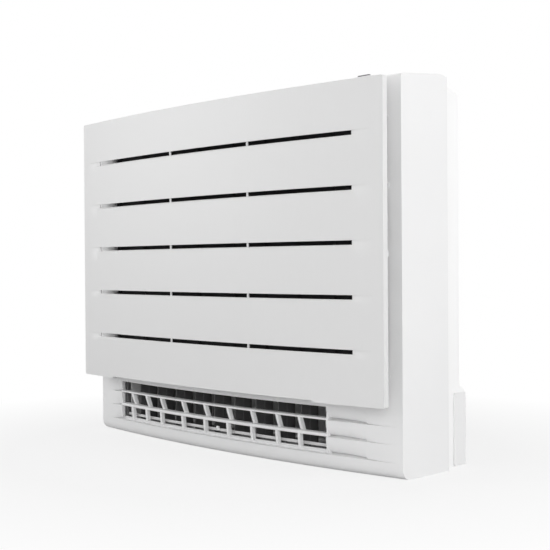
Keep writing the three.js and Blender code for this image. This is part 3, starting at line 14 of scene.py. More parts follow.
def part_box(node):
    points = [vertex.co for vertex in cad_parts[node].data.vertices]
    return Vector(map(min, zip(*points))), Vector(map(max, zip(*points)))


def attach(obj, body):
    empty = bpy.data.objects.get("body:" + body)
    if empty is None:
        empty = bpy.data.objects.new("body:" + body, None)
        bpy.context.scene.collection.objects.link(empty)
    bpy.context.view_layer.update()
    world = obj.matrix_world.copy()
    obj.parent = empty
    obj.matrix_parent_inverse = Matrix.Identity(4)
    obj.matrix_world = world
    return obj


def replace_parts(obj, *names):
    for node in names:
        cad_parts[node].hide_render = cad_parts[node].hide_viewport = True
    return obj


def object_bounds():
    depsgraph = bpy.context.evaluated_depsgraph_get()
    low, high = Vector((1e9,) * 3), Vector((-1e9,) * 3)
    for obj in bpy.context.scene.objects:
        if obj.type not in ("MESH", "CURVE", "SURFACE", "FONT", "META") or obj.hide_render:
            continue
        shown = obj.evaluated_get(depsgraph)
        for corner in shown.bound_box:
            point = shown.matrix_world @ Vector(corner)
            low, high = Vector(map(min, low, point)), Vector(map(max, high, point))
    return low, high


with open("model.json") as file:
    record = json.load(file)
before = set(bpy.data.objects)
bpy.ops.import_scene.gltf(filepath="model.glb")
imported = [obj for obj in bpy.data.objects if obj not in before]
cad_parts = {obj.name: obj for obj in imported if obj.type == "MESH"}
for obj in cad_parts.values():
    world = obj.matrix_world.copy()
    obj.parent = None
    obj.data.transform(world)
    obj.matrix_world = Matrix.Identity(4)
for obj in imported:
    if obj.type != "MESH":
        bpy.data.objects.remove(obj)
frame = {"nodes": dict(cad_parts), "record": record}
cad_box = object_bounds()

MM = 0.001

# ---- Sizes, read from the frame where it holds them ---------------------------------------
LOW, HIGH = (np.array(corner) for corner in cad_box)
HALF = HIGH[0]
FRONT = LOW[1]
HEIGHT = HIGH[2]


def node_box(name):
    low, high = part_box(name)
    return np.array(low), np.array(high)


PANEL_LOW, PANEL_HIGH = node_box("front_panel")
PANEL_HALF = PANEL_HIGH[0]
PANEL_BOTTOM = PANEL_LOW[2]
PANEL_TOP = PANEL_HIGH[2]
PANEL_BOW = 24.1 * MM  # how much further back its ends lie than its middle
PANEL_RETURN = 9.5 * MM  # how far its border folds back
PANEL_WALL = 2.6 * MM
PANEL_CORNER = 3 * MM
LUG_AT = 250 * MM  # each hinge's distance from the middle
LUG_HALF = 4 * MM
EYE_Y, EYE_Z = FRONT + 35 * MM, PANEL_BOTTOM + 10 * MM  # the hinge line
EYE_RADIUS = 6 * MM
EAR_RADIUS = 5 * MM
EAR_GAP = 1 * MM
EAR_WIDTH = 4 * MM

BODY_STANDOFF = 37.1 * MM
BODY_BOW = 27.1 * MM
WALL = 2.5 * MM
CASING_BACK = node_box("front_casing")[1][1]
TOP_CREST = CASING_BACK - 18.5 * MM  # where the top stops rising and rolls over
TOP_SLOPE = 0.095
TOP_CURL = 10
SOFT_EDGE = 0.5 * MM
SHARP_ANGLE = math.radians(32)  # edges that turn by more than this are rounded
WELD_DISTANCE = 0.02 * MM
JOINT_LINE = 0.12 * MM  # the width of a step's edge, and of the line between two skins
CORNER_STEPS = np.array([0.3, 0.6, 1])  # stations across a rounded corner, in its radius

SLOT_FIRST, SLOT_PITCH = 74.5, 80  # from the panel's top to the first slot, in mm
SLOT_TOPS = PANEL_TOP - (SLOT_FIRST + SLOT_PITCH * np.arange(5)) * MM
SLOT_HEIGHT = 6.5 * MM
SLOT_ENDS = (-314 * MM, 318.5 * MM)
SLOT_RIBS = (-84 * MM, 110 * MM)
SLOT_RIB = 3 * MM
SLOT_FADE = 36 * MM
SLOT_RECESS = 1.9 * MM
SLOT_CHAMFER = 2.4 * MM
NOTCH = (-268 * MM, 244 * MM, 2.8 * MM)  # in the foot: its ends and its height


def panel_front(x):
    """The panel's front: front + bow * (x / half)^2, foremost in the middle."""
    return FRONT + PANEL_BOW * (x / PANEL_HALF) ** 2


def body_front(x):
    """The casing's front: front + standoff + bow * (x / half)^2, behind the panel."""
    return FRONT + BODY_STANDOFF + BODY_BOW * (x / HALF) ** 2


def body_top(y):
    """The casing's top: height - slope * (crest - y) before the crest, and
    height - curl * (y - crest)^2 behind it."""
    return (HEIGHT - np.maximum(0, TOP_CREST - y) * TOP_SLOPE
            - np.maximum(0, y - TOP_CREST) ** 2 * TOP_CURL)


# ---- Camera and lamps ---------------------------------------------------------------------
CAMERA_AT = (1.3672, -1.2672, 0.3147)
CAMERA_YAW = 0.8034
CAMERA_PITCH = -0.0092
CAMERA_ROLL = -0.0067
CAMERA_FOCAL = 1075.5  # in pixels of a 550-pixel frame
FRAME_WIDTH = 550
SENSOR = 36


def make_camera():
    """The camera that the photo was taken with, as solved from it."""
    data = bpy.data.cameras.new("camera")
    data.sensor_fit = "HORIZONTAL"
    data.sensor_width = SENSOR
    data.lens = CAMERA_FOCAL * SENSOR / FRAME_WIDTH
    data.clip_end = 50
    camera = bpy.data.objects.new("camera", data)
    bpy.context.scene.collection.objects.link(camera)
    aim = (Matrix.Rotation(CAMERA_YAW, 4, "Z")
           @ Matrix.Rotation(math.pi / 2 + CAMERA_PITCH, 4, "X")
           @ Matrix.Rotation(CAMERA_ROLL, 4, "Z"))
    camera.matrix_world = Matrix.Translation(CAMERA_AT) @ aim
    bpy.context.scene.camera = camera


def area_light(name, at, towards, size, power):
    """A soft rectangular lamp that points from one place to another."""
    data = bpy.data.lights.new(name, "AREA")
    data.shape = "RECTANGLE"
    data.size, data.size_y = size
    data.energy = power
    light = bpy.data.objects.new(name, data)
    bpy.context.scene.collection.objects.link(light)
    way = Vector(towards) - Vector(at)
    light.matrix_world = Matrix.Translation(at) @ way.to_track_quat("-Z", "Y").to_matrix().to_4x4()


# ---- Shader maths and finishes ------------------------------------------------------------
class Value:
    """A shader socket that Python's operators work on by adding Math nodes."""

    def __init__(self, tree, socket):
        self.tree = tree
        self.socket = socket

    def math(self, operation, *others):
        node = self.tree.nodes.new("ShaderNodeMath")
        node.operation = operation
        for slot, value in zip(node.inputs, (self, *others)):
            if isinstance(value, Value):
                self.tree.links.new(value.socket, slot)
            else:
                slot.default_value = value
        return Value(self.tree, node.outputs[0])

    def of(self, number):
        node = self.tree.nodes.new("ShaderNodeValue")
        node.outputs[0].default_value = number
        return Value(self.tree, node.outputs[0])

    def __add__(self, other):
        return self.math("ADD", other)

    def __radd__(self, other):
        return self.math("ADD", other)

    def __sub__(self, other):
        return self.math("SUBTRACT", other)

    def __rsub__(self, other):
        return self.of(other).math("SUBTRACT", self)

    def __mul__(self, other):
        return self.math("MULTIPLY", other)

    def __rmul__(self, other):
        return self.math("MULTIPLY", other)

    def __truediv__(self, other):
        return self.math("DIVIDE", other)

    def __pow__(self, power):
        return self.math("POWER", power)

    def clamped(self):
        return self.math("MAXIMUM", 0).math("MINIMUM", 1)

    def sine(self):
        return self.math("SINE")


class Finish:
    """A material under construction: node() adds any node, bsdf is its Principled shader."""

    def __init__(self, name):
        self.material = bpy.data.materials.new(name)
        self.material.use_nodes = True
        self.tree = self.material.node_tree
        self.bsdf = self.tree.nodes["Principled BSDF"]

    def node(self, kind, settings=None, sockets=None):
        node = self.tree.nodes.new(kind)
        for key, value in (settings or {}).items():
            setattr(node, key, value)
        for key, value in (sockets or {}).items():
            self.feed(node.inputs[key], value)
        return node

    def feed(self, slot, value):
        if isinstance(value, Value):
            value = value.socket
        if isinstance(value, bpy.types.NodeSocket):
            self.tree.links.new(value, slot)
        else:
            slot.default_value = value

    def value(self, socket):
        return Value(self.tree, socket)

    def place(self, stretch=(1, 1, 1)):
        """Object coordinates, stretched along each axis."""
        coordinates = self.node("ShaderNodeTexCoord").outputs["Object"]
        mapping = self.node("ShaderNodeMapping", None, {"Vector": coordinates, "Scale": stretch})
        return mapping.outputs["Vector"]

    def noise(self, scale, detail=3, stretch=(1, 1, 1), roughness=0.5):
        node = self.node("ShaderNodeTexNoise", None, {
            "Vector": self.place(stretch), "Scale": scale, "Detail": detail,
            "Roughness": roughness})
        return self.value(node.outputs["Fac"])

    def mix(self, factor, first, second):
        node = self.node("ShaderNodeMix", {"data_type": "RGBA"})
        self.feed(node.inputs["Factor"], factor)
        self.feed(node.inputs["A"], first)
        self.feed(node.inputs["B"], second)
        return node.outputs["Result"]

    def bump(self, height, strength, distance):
        node = self.node("ShaderNodeBump", None, {
            "Height": height, "Strength": strength, "Distance": distance})
        self.feed(self.bsdf.inputs["Normal"], node.outputs["Normal"])

    def set(self, **sockets):
        for name, value in sockets.items():
            self.feed(self.bsdf.inputs[name.replace("_", " ")], value)


def grey(level, tint=(0, 0, 0)):
    return (level + tint[0], level + tint[1], level + tint[2], 1)


def moulded_white(name, light, dark, roughness, grain, grain_scale=1400):
    """Moulded plastic: a faint cloudy tone, a fine spark texture and soft gloss changes."""
    f = Finish(name)
    cloud = f.noise(6, 4)
    spark = f.noise(grain_scale, 2)
    f.set(Base_Color=f.mix(cloud, light, dark), Roughness=roughness + 0.06 * (cloud - 0.5))
    f.bump(spark, grain, 0.00004)
    return f.material


def brushed_panel(name, light, dark, roughness):
    """The panel's skin: fine upright hairlines over a faint cloudy tone."""
    f = Finish(name)
    hair = f.noise(900, 2, (1, 1, 0.02))
    cloud = f.noise(4, 3, (1, 1, 0.3))
    tone = 0.6 * cloud + 0.4 * hair
    f.set(Base_Color=f.mix(tone, light, dark), Roughness=roughness + 0.1 * (hair - 0.5))
    f.bump(hair, 0.25, 0.00003)
    return f.material


def dull_metal(name, colour, shade, roughness, stretch=(1, 1, 1)):
    """Rolled or drawn metal with a directional grain and slight tarnish."""
    f = Finish(name)
    grain = f.noise(500, 3, stretch)
    tarnish = f.noise(14, 4)
    f.set(Base_Color=f.mix(tarnish, colour, shade), Metallic=0.9,
          Roughness=roughness + 0.15 * (grain - 0.5))
    f.bump(grain, 0.2, 0.00004)
    return f.material


def mesh_cloth(name):
    """Filter gauze: a fine square weave as bump and tone on a near-black sheet."""
    f = Finish(name)
    place = f.node("ShaderNodeSeparateXYZ", None, {"Vector": f.place()})
    pitch = 2 * math.pi / 0.0012
    across = (f.value(place.outputs["X"]) * pitch).sine()
    upright = (f.value(place.outputs["Z"]) * pitch).sine()
    weave = (across * upright * 0.5 + 0.5).clamped()
    f.set(Base_Color=f.mix(weave, grey(0.004), grey(0.018, (0.001, 0, 0.003))), Roughness=0.7)
    f.bump(weave, 0.5, 0.0002)
    return f.material


def circuit_green(name):
    """Lacquered board: green with a fine darker trace pattern."""
    f = Finish(name)
    traces = f.value(f.node("ShaderNodeTexWave", {"wave_type": "BANDS"}, {
        "Vector": f.place(), "Scale": 90, "Distortion": 6, "Detail": 1}).outputs["Fac"])
    f.set(Base_Color=f.mix(traces, (0.01, 0.07, 0.03, 1), (0.02, 0.14, 0.06, 1)), Roughness=0.35)
    return f.material


def smoke_window(name):
    """The display's smoke tinted window, glossy with a faint depth of tone."""
    f = Finish(name)
    depth = f.noise(60, 2)
    f.set(Base_Color=f.mix(depth, grey(0.10, (0, 0, 0.012)), grey(0.14, (0, 0, 0.015))),
          Roughness=0.12 + 0.04 * depth)
    return f.material


FINISHES = {
    "panel_white": brushed_panel("panel_white", grey(0.80), grey(0.77), 0.42),
    "casing_white": moulded_white("casing_white", grey(0.89), grey(0.86, (0, 0, 0.004)), 0.5,
                                  0.12),
    # Painted light: the casing's white plastic made lighter for the rear casing, standing in for
    # the stronger light on it.
    "rear_white_painted_light": moulded_white("rear_white_painted_light", grey(0.97), grey(0.94), 0.55, 0.1),
    "duct_white": moulded_white("duct_white", grey(0.66), grey(0.60), 0.5, 0.1),
    "vane_dark": moulded_white("vane_dark", grey(0.12, (0.002, 0, 0.002)), grey(0.09), 0.45, 0.2),
    "filter_dark": mesh_cloth("filter_dark"),
    "fan_grey": moulded_white("fan_grey", grey(0.06), grey(0.045), 0.4, 0.2),
    "key_grey": moulded_white("key_grey", grey(0.62), grey(0.58), 0.4, 0.2),
    "display_smoke": smoke_window("display_smoke"),
    "steel": dull_metal("steel", grey(0.55), grey(0.42), 0.35, (1, 1, 0.05)),
    "aluminium": dull_metal("aluminium", grey(0.62), grey(0.5), 0.4, (0.05, 1, 1)),
    "copper": dull_metal("copper", (0.62, 0.27, 0.14, 1), (0.45, 0.18, 0.09, 1), 0.3),
    "board_green": circuit_green("board_green"),
    "pan_grey": moulded_white("pan_grey", grey(0.2), grey(0.16), 0.5, 0.2),
}
SLOT_OF = {row["node"]: row["material_slot"] for row in frame["record"]["subparts"]}
# Nodes whose finish isn't that of their slot: the rear, which is the casing's own white plastic
# painted lighter as painted light for the stronger light it gets from behind on the right; a white
# button and switch.
FINISH_OF = {"rear_casing": "rear_white_painted_light", "power_button": "casing_white",
             "outlet_switch": "casing_white"}
BODY_OF = {node: body for body, nodes in frame["record"]["behaviour"]["bodies"].items()
           for node in nodes}

for name, node in frame["nodes"].items():
    node.data.materials.clear()
    node.data.materials.append(FINISHES[FINISH_OF.get(name, SLOT_OF[name])])


# ---- Surfaces -----------------------------------------------------------------------------
def piece(name, points, faces, stands_for, wall=0, edge=SOFT_EDGE, slot=None, even=True):
    """A mesh from an array of points and an array of faces: doubles are merged, a wall is
    grown inwards and sharp edges are rounded. A sheet that folds back sharply takes
    even=False, because an evened wall grows spikes at its folds."""
    mesh = bpy.data.meshes.new(name)
    mesh.from_pydata(points.reshape(-1, 3).tolist(), [], [list(map(int, f)) for f in faces])
    mesh.validate()
    obj = bpy.data.objects.new(name, mesh)
    bpy.context.scene.collection.objects.link(obj)
    weld(mesh)
    slot = slot or SLOT_OF[stands_for]
    mesh.materials.append(FINISHES[slot])
    mesh.shade_smooth()
    if wall:
        grown = obj.modifiers.new("wall", "SOLIDIFY")
        grown.thickness = wall
        grown.offset = -1
        grown.use_even_offset = even
    if edge:
        soft = obj.modifiers.new("soft_edges", "BEVEL")
        soft.width = edge
        soft.segments = 2
        soft.limit_method = "ANGLE"
        soft.angle_limit = SHARP_ANGLE
        soft.harden_normals = True
        soft.use_clamp_overlap = True
    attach(obj, BODY_OF[stands_for])
    return obj


def weld(mesh):
    """Merges doubled points and turns every face outwards."""
    work = bmesh.new()
    work.from_mesh(mesh)
    bmesh.ops.remove_doubles(work, verts=work.verts, dist=WELD_DISTANCE)
    bmesh.ops.recalc_face_normals(work, faces=work.faces)
    work.to_mesh(mesh)
    work.free()


def grid_faces(rows, columns, keep=None):
    """Quads between the points of a rows by columns grid; keep is a mask of cells."""
    at = np.arange(rows * columns).reshape(rows, columns)
    quads = np.stack([at[:-1, :-1], at[1:, :-1], at[1:, 1:], at[:-1, 1:]], axis=-1)
    if keep is not None:
        return quads[keep]
    return quads.reshape(-1, 4)


def with_breaks(low, high, count, breaks):
    """Even stations from low to high with extra ones at the breaks."""
    even = np.linspace(low, high, count)
    inside = [b for b in breaks if low < b < high]
    even = [e for e in even if all(abs(e - b) > (high - low) / count * 0.3 for b in inside)
            or e in (low, high)]
    return np.unique(np.concatenate([even, inside]))


def ramp(value, start, end):
    """0 at start, 1 at end, straight between."""
    return np.clip((value - start) / (end - start), 0, 1)


def smooth(t):
    return t * t * (3 - 2 * t)


def rounded_corner(x, z, half, low, high, radius):
    """Pulls points outside a corner's quarter circle back on to it."""
    cx = np.sign(x) * (half - radius)
    cz = np.where(z > (low + high) / 2, high - radius, low + radius)
    dx, dz = x - cx, z - cz
    outside = (dx * np.sign(x) > 0) & (dz * np.where(z > (low + high) / 2, 1, -1) > 0)
    reach = np.hypot(dx, dz)
    pull = np.where(outside & (reach > radius), radius / np.maximum(reach, 1e-9), 1)
    return cx + dx * pull, cz + dz * pull


def arc(along, up, radius, turn):
    """Points of a circle in an upright plane, at the given turns."""
    return np.stack([along + radius * np.cos(turn), up + radius * np.sin(turn)], -1)


def prism_x(name, outline, span, stands_for, edge=SOFT_EDGE, slot=None):
    """A solid between two copies of a (y, z) outline, at both ends of span."""
    n = len(outline)
    points = np.concatenate([np.column_stack([np.full(n, x), outline]) for x in span])
    ring = np.arange(n)
    sides = np.stack([ring, (ring + 1) % n, (ring + 1) % n + n, ring + n], axis=-1).tolist()
    faces = [ring[::-1].tolist(), (ring + n).tolist(), *sides]
    return piece(name, points, faces, stands_for, 0, edge, slot)


def swept_along(name, xs, section, stands_for, edge=0.4 * MM, slot=None):
    """A closed section of (set back from the bowed front, height) points swept across xs."""
    section = np.array(section)
    count = len(section)
    points = np.stack([np.column_stack([np.full(count, x), body_front(x) + section[:, 0],
                                        section[:, 1]]) for x in xs])
    at = np.arange(len(xs) * count).reshape(len(xs), count)
    rolled = np.roll(at, -1, axis=1)
    quads = np.stack([at[:-1], rolled[:-1], rolled[1:], at[1:]], -1).reshape(-1, 4)
    faces = [*quads.tolist(), at[0][::-1].tolist(), at[-1].tolist()]
    return piece(name, points, faces, stands_for, 0, edge, slot)


def together(sheets):
    """Joins (points, faces) pairs into one pair."""
    points, faces, count = [], [], 0
    for some, quads in sheets:
        points.append(some.reshape(-1, 3))
        faces.append(np.asarray(quads) + count)
        count += len(points[-1])
    return np.concatenate(points), np.concatenate(faces)


# ---- Front panel --------------------------------------------------------------------------
def front_panel():
    """y(x, z) = panel_front(x) + recess * along(x) * (slot(z) + lip(z)), where along fades
    out past the slots' ends and lip is the chamfer under each slot. The border rows and
    columns fold back as the turned edge."""
    slot_low = SLOT_TOPS - SLOT_HEIGHT
    breaks_z = np.concatenate([SLOT_TOPS + JOINT_LINE, SLOT_TOPS, slot_low,
                               slot_low - SLOT_CHAMFER, [PANEL_BOTTOM + NOTCH[2]],
                               PANEL_BOTTOM + PANEL_CORNER * CORNER_STEPS,
                               PANEL_TOP - PANEL_CORNER * CORNER_STEPS])
    ribs = [r + s * SLOT_RIB / 2 for r in SLOT_RIBS for s in (-1, 1)]
    fades = [SLOT_ENDS[0] - SLOT_FADE, SLOT_ENDS[1] + SLOT_FADE]
    corner = [s * (PANEL_HALF - PANEL_CORNER * t) for s in (-1, 1) for t in CORNER_STEPS]
    breaks_x = [*SLOT_ENDS, *ribs, *fades, *NOTCH[:2], *corner]
    xs = with_breaks(-PANEL_HALF, PANEL_HALF, 90, breaks_x)
    zs = with_breaks(PANEL_BOTTOM, PANEL_TOP, 30, breaks_z)
    xs = np.concatenate([[xs[0]], xs, [xs[-1]]])
    zs = np.concatenate([[zs[0]], zs, [zs[-1]]])
    x, z = np.meshgrid(xs, zs, indexing="ij")
    depth = np.zeros_like(x)
    along = (ramp(x, SLOT_ENDS[0] - SLOT_FADE, SLOT_ENDS[0])
             * ramp(x, SLOT_ENDS[1] + SLOT_FADE, SLOT_ENDS[1]))
    for top in SLOT_TOPS:
        low = top - SLOT_HEIGHT
        in_slot = (z <= top + 1e-7) & (z >= low - 1e-7)
        lip = ramp(z, low - SLOT_CHAMFER, low) * (z < low)
        depth += SLOT_RECESS * along * (in_slot + lip)
    y = panel_front(x) + depth
    y[[0, -1], :] = panel_front(x[[0, -1], :]) + PANEL_RETURN
    y[:, [0, -1]] = panel_front(x[:, [0, -1]]) + PANEL_RETURN
    px, pz = rounded_corner(x, z, PANEL_HALF, PANEL_BOTTOM, PANEL_TOP, PANEL_CORNER)
    points = np.stack([px, y, pz], axis=-1)
    mx = (x[1:, 1:] + x[:-1, :-1]) / 2
    mz = (z[1:, 1:] + z[:-1, :-1]) / 2
    keep = np.ones_like(mx, bool)
    open_x = (mx > SLOT_ENDS[0]) & (mx < SLOT_ENDS[1])
    for rib in SLOT_RIBS:
        open_x &= np.abs(mx - rib) > SLOT_RIB / 2
    for top in SLOT_TOPS:
        keep &= ~(open_x & (mz < top) & (mz > top - SLOT_HEIGHT))
    keep &= ~((mx > NOTCH[0]) & (mx < NOTCH[1]) & (mz < PANEL_BOTTOM + NOTCH[2]))
    keep[[0, 0, -1, -1], [0, -1, 0, -1]] = False  # the border's own corners
    return piece("panel_skin", points, grid_faces(*x.shape, keep), "front_panel", PANEL_WALL,
                 0.35 * MM)


def hinge_lugs():
    """The panel's two hinge lugs: a flat cheek each with a rounded eye."""
    turn = np.linspace(-math.pi / 2, math.pi / 2, 12)
    eye = arc(EYE_Y, EYE_Z, EYE_RADIUS, turn)
    for side, label in ((-1, "left"), (1, "right")):
        x = side * LUG_AT + np.array([-LUG_HALF, LUG_HALF])
        start = panel_front(x[0]) + PANEL_WALL * 0.8
        outline = np.array([(start, EYE_Z + EYE_RADIUS), (start, EYE_Z - EYE_RADIUS), *eye])
        prism_x(f"panel_lug_{label}", outline, x, "front_panel")


# ---- Front casing -------------------------------------------------------------------------
SHINGLE_LEAST = 0.12  # the least share of a fold's height, where the shingles fade out
SHINGLE_TOPS = np.array([103, 77, 51, 24.5]) * MM
SHINGLE_FEET = np.array([81.2, 55.2, 28.7]) * MM
SHINGLE_DEPTH = 6.5 * MM
SHINGLE_CURVE = 3.5
SHINGLE_STEPS = 7
GROOVE_DEPTH = 13 * MM
GROOVE_SHARE = 0.55  # of the fold's height
FADE_LEFT = (-345 * MM, -291 * MM)  # where the shingles begin, and where they are full
FADE_RIGHT = (373 * MM, 262 * MM)
CASING_SHINGLE = 0.62  # how deep the shingles go on beside the insert's right end
INSERT_HALF = node_box("lower_outlet_grille")[1][0]
BASE_ROUND = 16 * MM
BASE_FLANGE = 60 * MM
TOP_ROUND = 3 * MM
FRONT_ZONE = CASING_BACK - 60 * MM  # a face of the casing before this belongs to its front
WINDOW = (-325 * MM, 325 * MM, 130 * MM, 556 * MM)  # low x, high x, low z, high z
WINDOW_CORNER = 6 * MM
WINDOW_DEPTH = node_box("air_filter_left")[0][1] - 0.3 * MM
TOP_OUTLET = (-300 * MM, 250 * MM, FRONT + 74 * MM, FRONT + 116 * MM)  # x ends, y ends


def shingle_share(x):
    """How deep the shingles are at x: 0 at the sides, 1 in the middle, eased between."""
    return smooth(np.minimum(ramp(x, *FADE_LEFT), ramp(x, *FADE_RIGHT)))


def shingle_rows(share):
    """Heights and depths down the shingled front. Each face leans back by
    depth * share * t^3.5 from its top edge to its foot, where a shadow groove runs in under
    it before the next face starts forward again."""
    heights, depths = [], []
    for top, foot, following in zip(SHINGLE_TOPS, SHINGLE_FEET, SHINGLE_TOPS[1:]):
        low = following + (foot - following) * np.maximum(share, SHINGLE_LEAST)
        for t in 1 - (1 - np.linspace(0, 1, SHINGLE_STEPS)) ** 1.6:
            heights.append(top + (low - top) * t)
            depths.append(SHINGLE_DEPTH * share * t ** SHINGLE_CURVE)
        for drop in (0, GROOVE_SHARE):
            heights.append(low - (low - following) * drop)
            depths.append(GROOVE_DEPTH * share)
    heights.append(np.full_like(share, SHINGLE_TOPS[-1]))
    depths.append(np.zeros_like(share))
    return np.array(heights), np.array(depths)


def casing_profile(x, share):
    """The casing's (y, z) section at each x, from the bottom flange's rear edge round the
    front to the rear of the top."""
    front = body_front(x)
    one = np.ones_like(x)
    ys, zs = [(FRONT + BODY_STANDOFF + BASE_FLANGE) * one], [0 * one]
    for angle in np.radians(np.linspace(0, 90, 7)):
        ys.append(front + BASE_ROUND * (1 - math.sin(angle)))
        zs.append(BASE_ROUND * (1 - math.cos(angle)) * one)
    heights, depths = shingle_rows(share)
    for height, depth in zip(heights[::-1], depths[::-1]):
        ys.append(front + depth)
        zs.append(height)
    roof = body_top(front)
    for z in (WINDOW[2], *np.linspace(WINDOW[2], WINDOW[3], 9)[1:-1], WINDOW[3]):
        ys.append(front)
        zs.append(z * one)
    for angle in np.radians(np.linspace(0, 90, 4)):
        ys.append(front + TOP_ROUND * (1 - math.cos(angle)))
        zs.append(roof - TOP_ROUND * (1 - math.sin(angle)))
    start = front + TOP_ROUND
    for y in (*TOP_OUTLET[2:], TOP_CREST):
        ys.append(np.maximum(y, start))
        zs.append(body_top(ys[-1]))
    for t in np.linspace(0, 1, 7)[1:]:
        ys.append((TOP_CREST + (CASING_BACK - TOP_CREST) * t) * one)
        zs.append(body_top(ys[-1]))
    return np.array(ys), np.array(zs)


def front_casing():
    """One sheet round the body, with the openings of the window, the grille and the upper
    outlet left out, and plane sides."""
    inner = [s * (INSERT_HALF + JOINT_LINE) for s in (-1, 1)]
    xs = with_breaks(-HALF, HALF, 100, [*WINDOW[:2], *inner, *TOP_OUTLET[:2]])
    share = shingle_share(xs) * np.where(xs > 0, CASING_SHINGLE, 1)
    ys, zs = casing_profile(xs, share)
    points = np.stack([np.broadcast_to(xs, ys.shape), ys, zs], axis=-1)
    mid = (points[1:, 1:] + points[:-1, :-1]) / 2
    mx, my, mz = mid[..., 0], mid[..., 1], mid[..., 2]
    on_front = (my < FRONT_ZONE) & (mz < WINDOW[3] + 2 * MM)
    keep = ~(on_front & (np.abs(mx) < WINDOW[1]) & (mz > WINDOW[2]) & (mz < WINDOW[3]))
    keep &= ~((np.abs(mx) < inner[1]) & (mz > SHINGLE_TOPS[-1]) & (mz < SHINGLE_TOPS[0])
              & on_front)
    keep &= ~((mx > TOP_OUTLET[0]) & (mx < TOP_OUTLET[1]) & (my > TOP_OUTLET[2])
              & (my < TOP_OUTLET[3]) & (mz > WINDOW[3] + 10 * MM))
    sheets = [(points, grid_faces(*ys.shape, keep))]
    back_z = np.linspace(0, body_top(CASING_BACK), len(points))
    rows = np.linspace(0, 1, 12)[:, None]
    for edge in (points[:, 0], points[:, -1]):
        y = edge[:, 1] + (CASING_BACK - edge[:, 1]) * rows
        z = edge[:, 2] + (back_z - edge[:, 2]) * rows
        side = np.stack([np.full_like(y, edge[0, 0]), y, z], axis=-1)
        sheets.append((side, grid_faces(*y.shape)))
    return piece("casing_shell", *together(sheets), "front_casing", WALL, 0.5 * MM, even=False)


def hinge_ears():
    """Two ears beside each of the panel's lugs."""
    nose = arc(EYE_Y, EYE_Z, EAR_RADIUS, np.radians(np.linspace(90, 270, 12)))
    for side, hand in ((-1, "left"), (1, "right")):
        for way in (-1, 1):
            near = side * LUG_AT + way * (LUG_HALF + EAR_GAP)
            span = sorted((near, near + way * EAR_WIDTH))
            back = body_front(abs(span[0])) + 1 * MM
            outline = [(back, EYE_Z + EAR_RADIUS), *nose, (back, EYE_Z - EAR_RADIUS)]
            prism_x(f"hinge_ear_{hand}_{'out' if way == side else 'in'}", np.array(outline), span,
                    "front_casing", 0.4 * MM)


def window_rim():
    """The white tunnel round the intake opening: four walls from the front to the filters,
    with rounded corners in between."""
    turn = np.radians(np.linspace(0, 90, 6))
    corners = []
    for cx, cz, start in ((WINDOW[1], WINDOW[3], 0), (WINDOW[0], WINDOW[3], 90),
                          (WINDOW[0], WINDOW[2], 180), (WINDOW[1], WINDOW[2], 270)):
        a = turn + math.radians(start)
        sx, sz = (1 if cx > 0 else -1), (1 if start < 180 else -1)
        corners.append(arc(cx - sx * WINDOW_CORNER, cz - sz * WINDOW_CORNER, WINDOW_CORNER, a))
    ring = np.concatenate(corners)
    extra = []
    for a, b in zip(ring, np.roll(ring, -1, axis=0)):
        extra.append(a)
        if np.hypot(*(b - a)) > 100 * MM:
            extra.extend(a + (b - a) * t for t in np.linspace(0, 1, 12)[1:-1])
    ring = np.array(extra)
    ring = np.concatenate([ring, ring[:1]])
    rows = np.linspace(0, 1, 3)[:, None]
    front = body_front(ring[:, 0]) + 0.6 * MM
    y = front + (WINDOW_DEPTH - front) * rows
    x, z = (np.broadcast_to(ring[:, axis], y.shape) for axis in (0, 1))
    points = np.stack([x, y, z], -1)
    return piece("window_rim", points, grid_faces(*y.shape), "front_casing", 1.5 * MM, 0)


# ---- Lower outlet grille ------------------------------------------------------------------
OUTLET = (-299 * MM, 237 * MM)  # its ends
OUTLET_ROWS = np.array([[80, 99.4], [56.5, 76], [30.5, 50.5]]) * MM  # from the top down
BAR_DEPTH = 15 * MM
CHEEK_DEPTH = 8 * MM
GRILLE_WALL = 2.2 * MM
RIB_WIDTH = 5.2 * MM
RIB_DEPTH = 8.5 * MM
RIB_LEANS = {1: 8 * MM, 2: 2 * MM}  # a row's place, and its ribs' lean back at the foot
RIBS_AT = OUTLET[0] + (OUTLET[1] - OUTLET[0]) * np.array(
    [0.068, 0.157, 0.2457, 0.3667, 0.482, 0.5936, 0.7013, 0.8072, 0.896])
RAIL_LOW, RAIL_HIGH = OUTLET_ROWS[-1][0] + 3.2 * MM, OUTLET_ROWS[-1][0] + 8 * MM
CLIPS_AT = {"left": -13 * MM, "right": 178 * MM}


def grille_face():
    """The insert's shingled face, with the three rows of the outlet left open."""
    xs = with_breaks(-INSERT_HALF, INSERT_HALF, 110, OUTLET)
    share = shingle_share(xs)
    heights, depths = shingle_rows(share)
    points = np.stack([np.broadcast_to(xs, heights.shape), body_front(xs) + depths, heights], -1)
    mid = (points[1:, 1:] + points[:-1, :-1]) / 2
    mx, mz = mid[..., 0], mid[..., 2]
    keep = ~((mx > OUTLET[0]) & (mx < OUTLET[1])
             & (mz > OUTLET_ROWS[-1][0]) & (mz < OUTLET_ROWS[0][1]))
    return piece("grille_face", points, grid_faces(*heights.shape, keep), "lower_outlet_grille",
                 GRILLE_WALL, 0.3 * MM, even=False)


def grille_bars():
    """The two bars between the outlet's rows: a rounded nose and a nearly level top."""
    xs = np.linspace(OUTLET[0] - 2 * MM, OUTLET[1] + 2 * MM, 40)
    for level in (0, 1):
        low, high = OUTLET_ROWS[level + 1][1] + 0.4 * MM, OUTLET_ROWS[level][0] + 0.3 * MM
        middle, nose = (low + high) / 2, (high - low) / 2
        turn = np.radians(np.linspace(-75, 75, 7))
        section = [(1.6 * MM - 1.6 * MM * math.cos(a), middle + nose * 0.86 * math.sin(a))
                   for a in turn]
        section += [(3 * MM, high), (BAR_DEPTH, high - 0.6 * MM), (BAR_DEPTH, high - 2 * MM),
                    (4 * MM, low)]
        swept_along(f"grille_bar_{level + 1}", xs, section, "lower_outlet_grille")


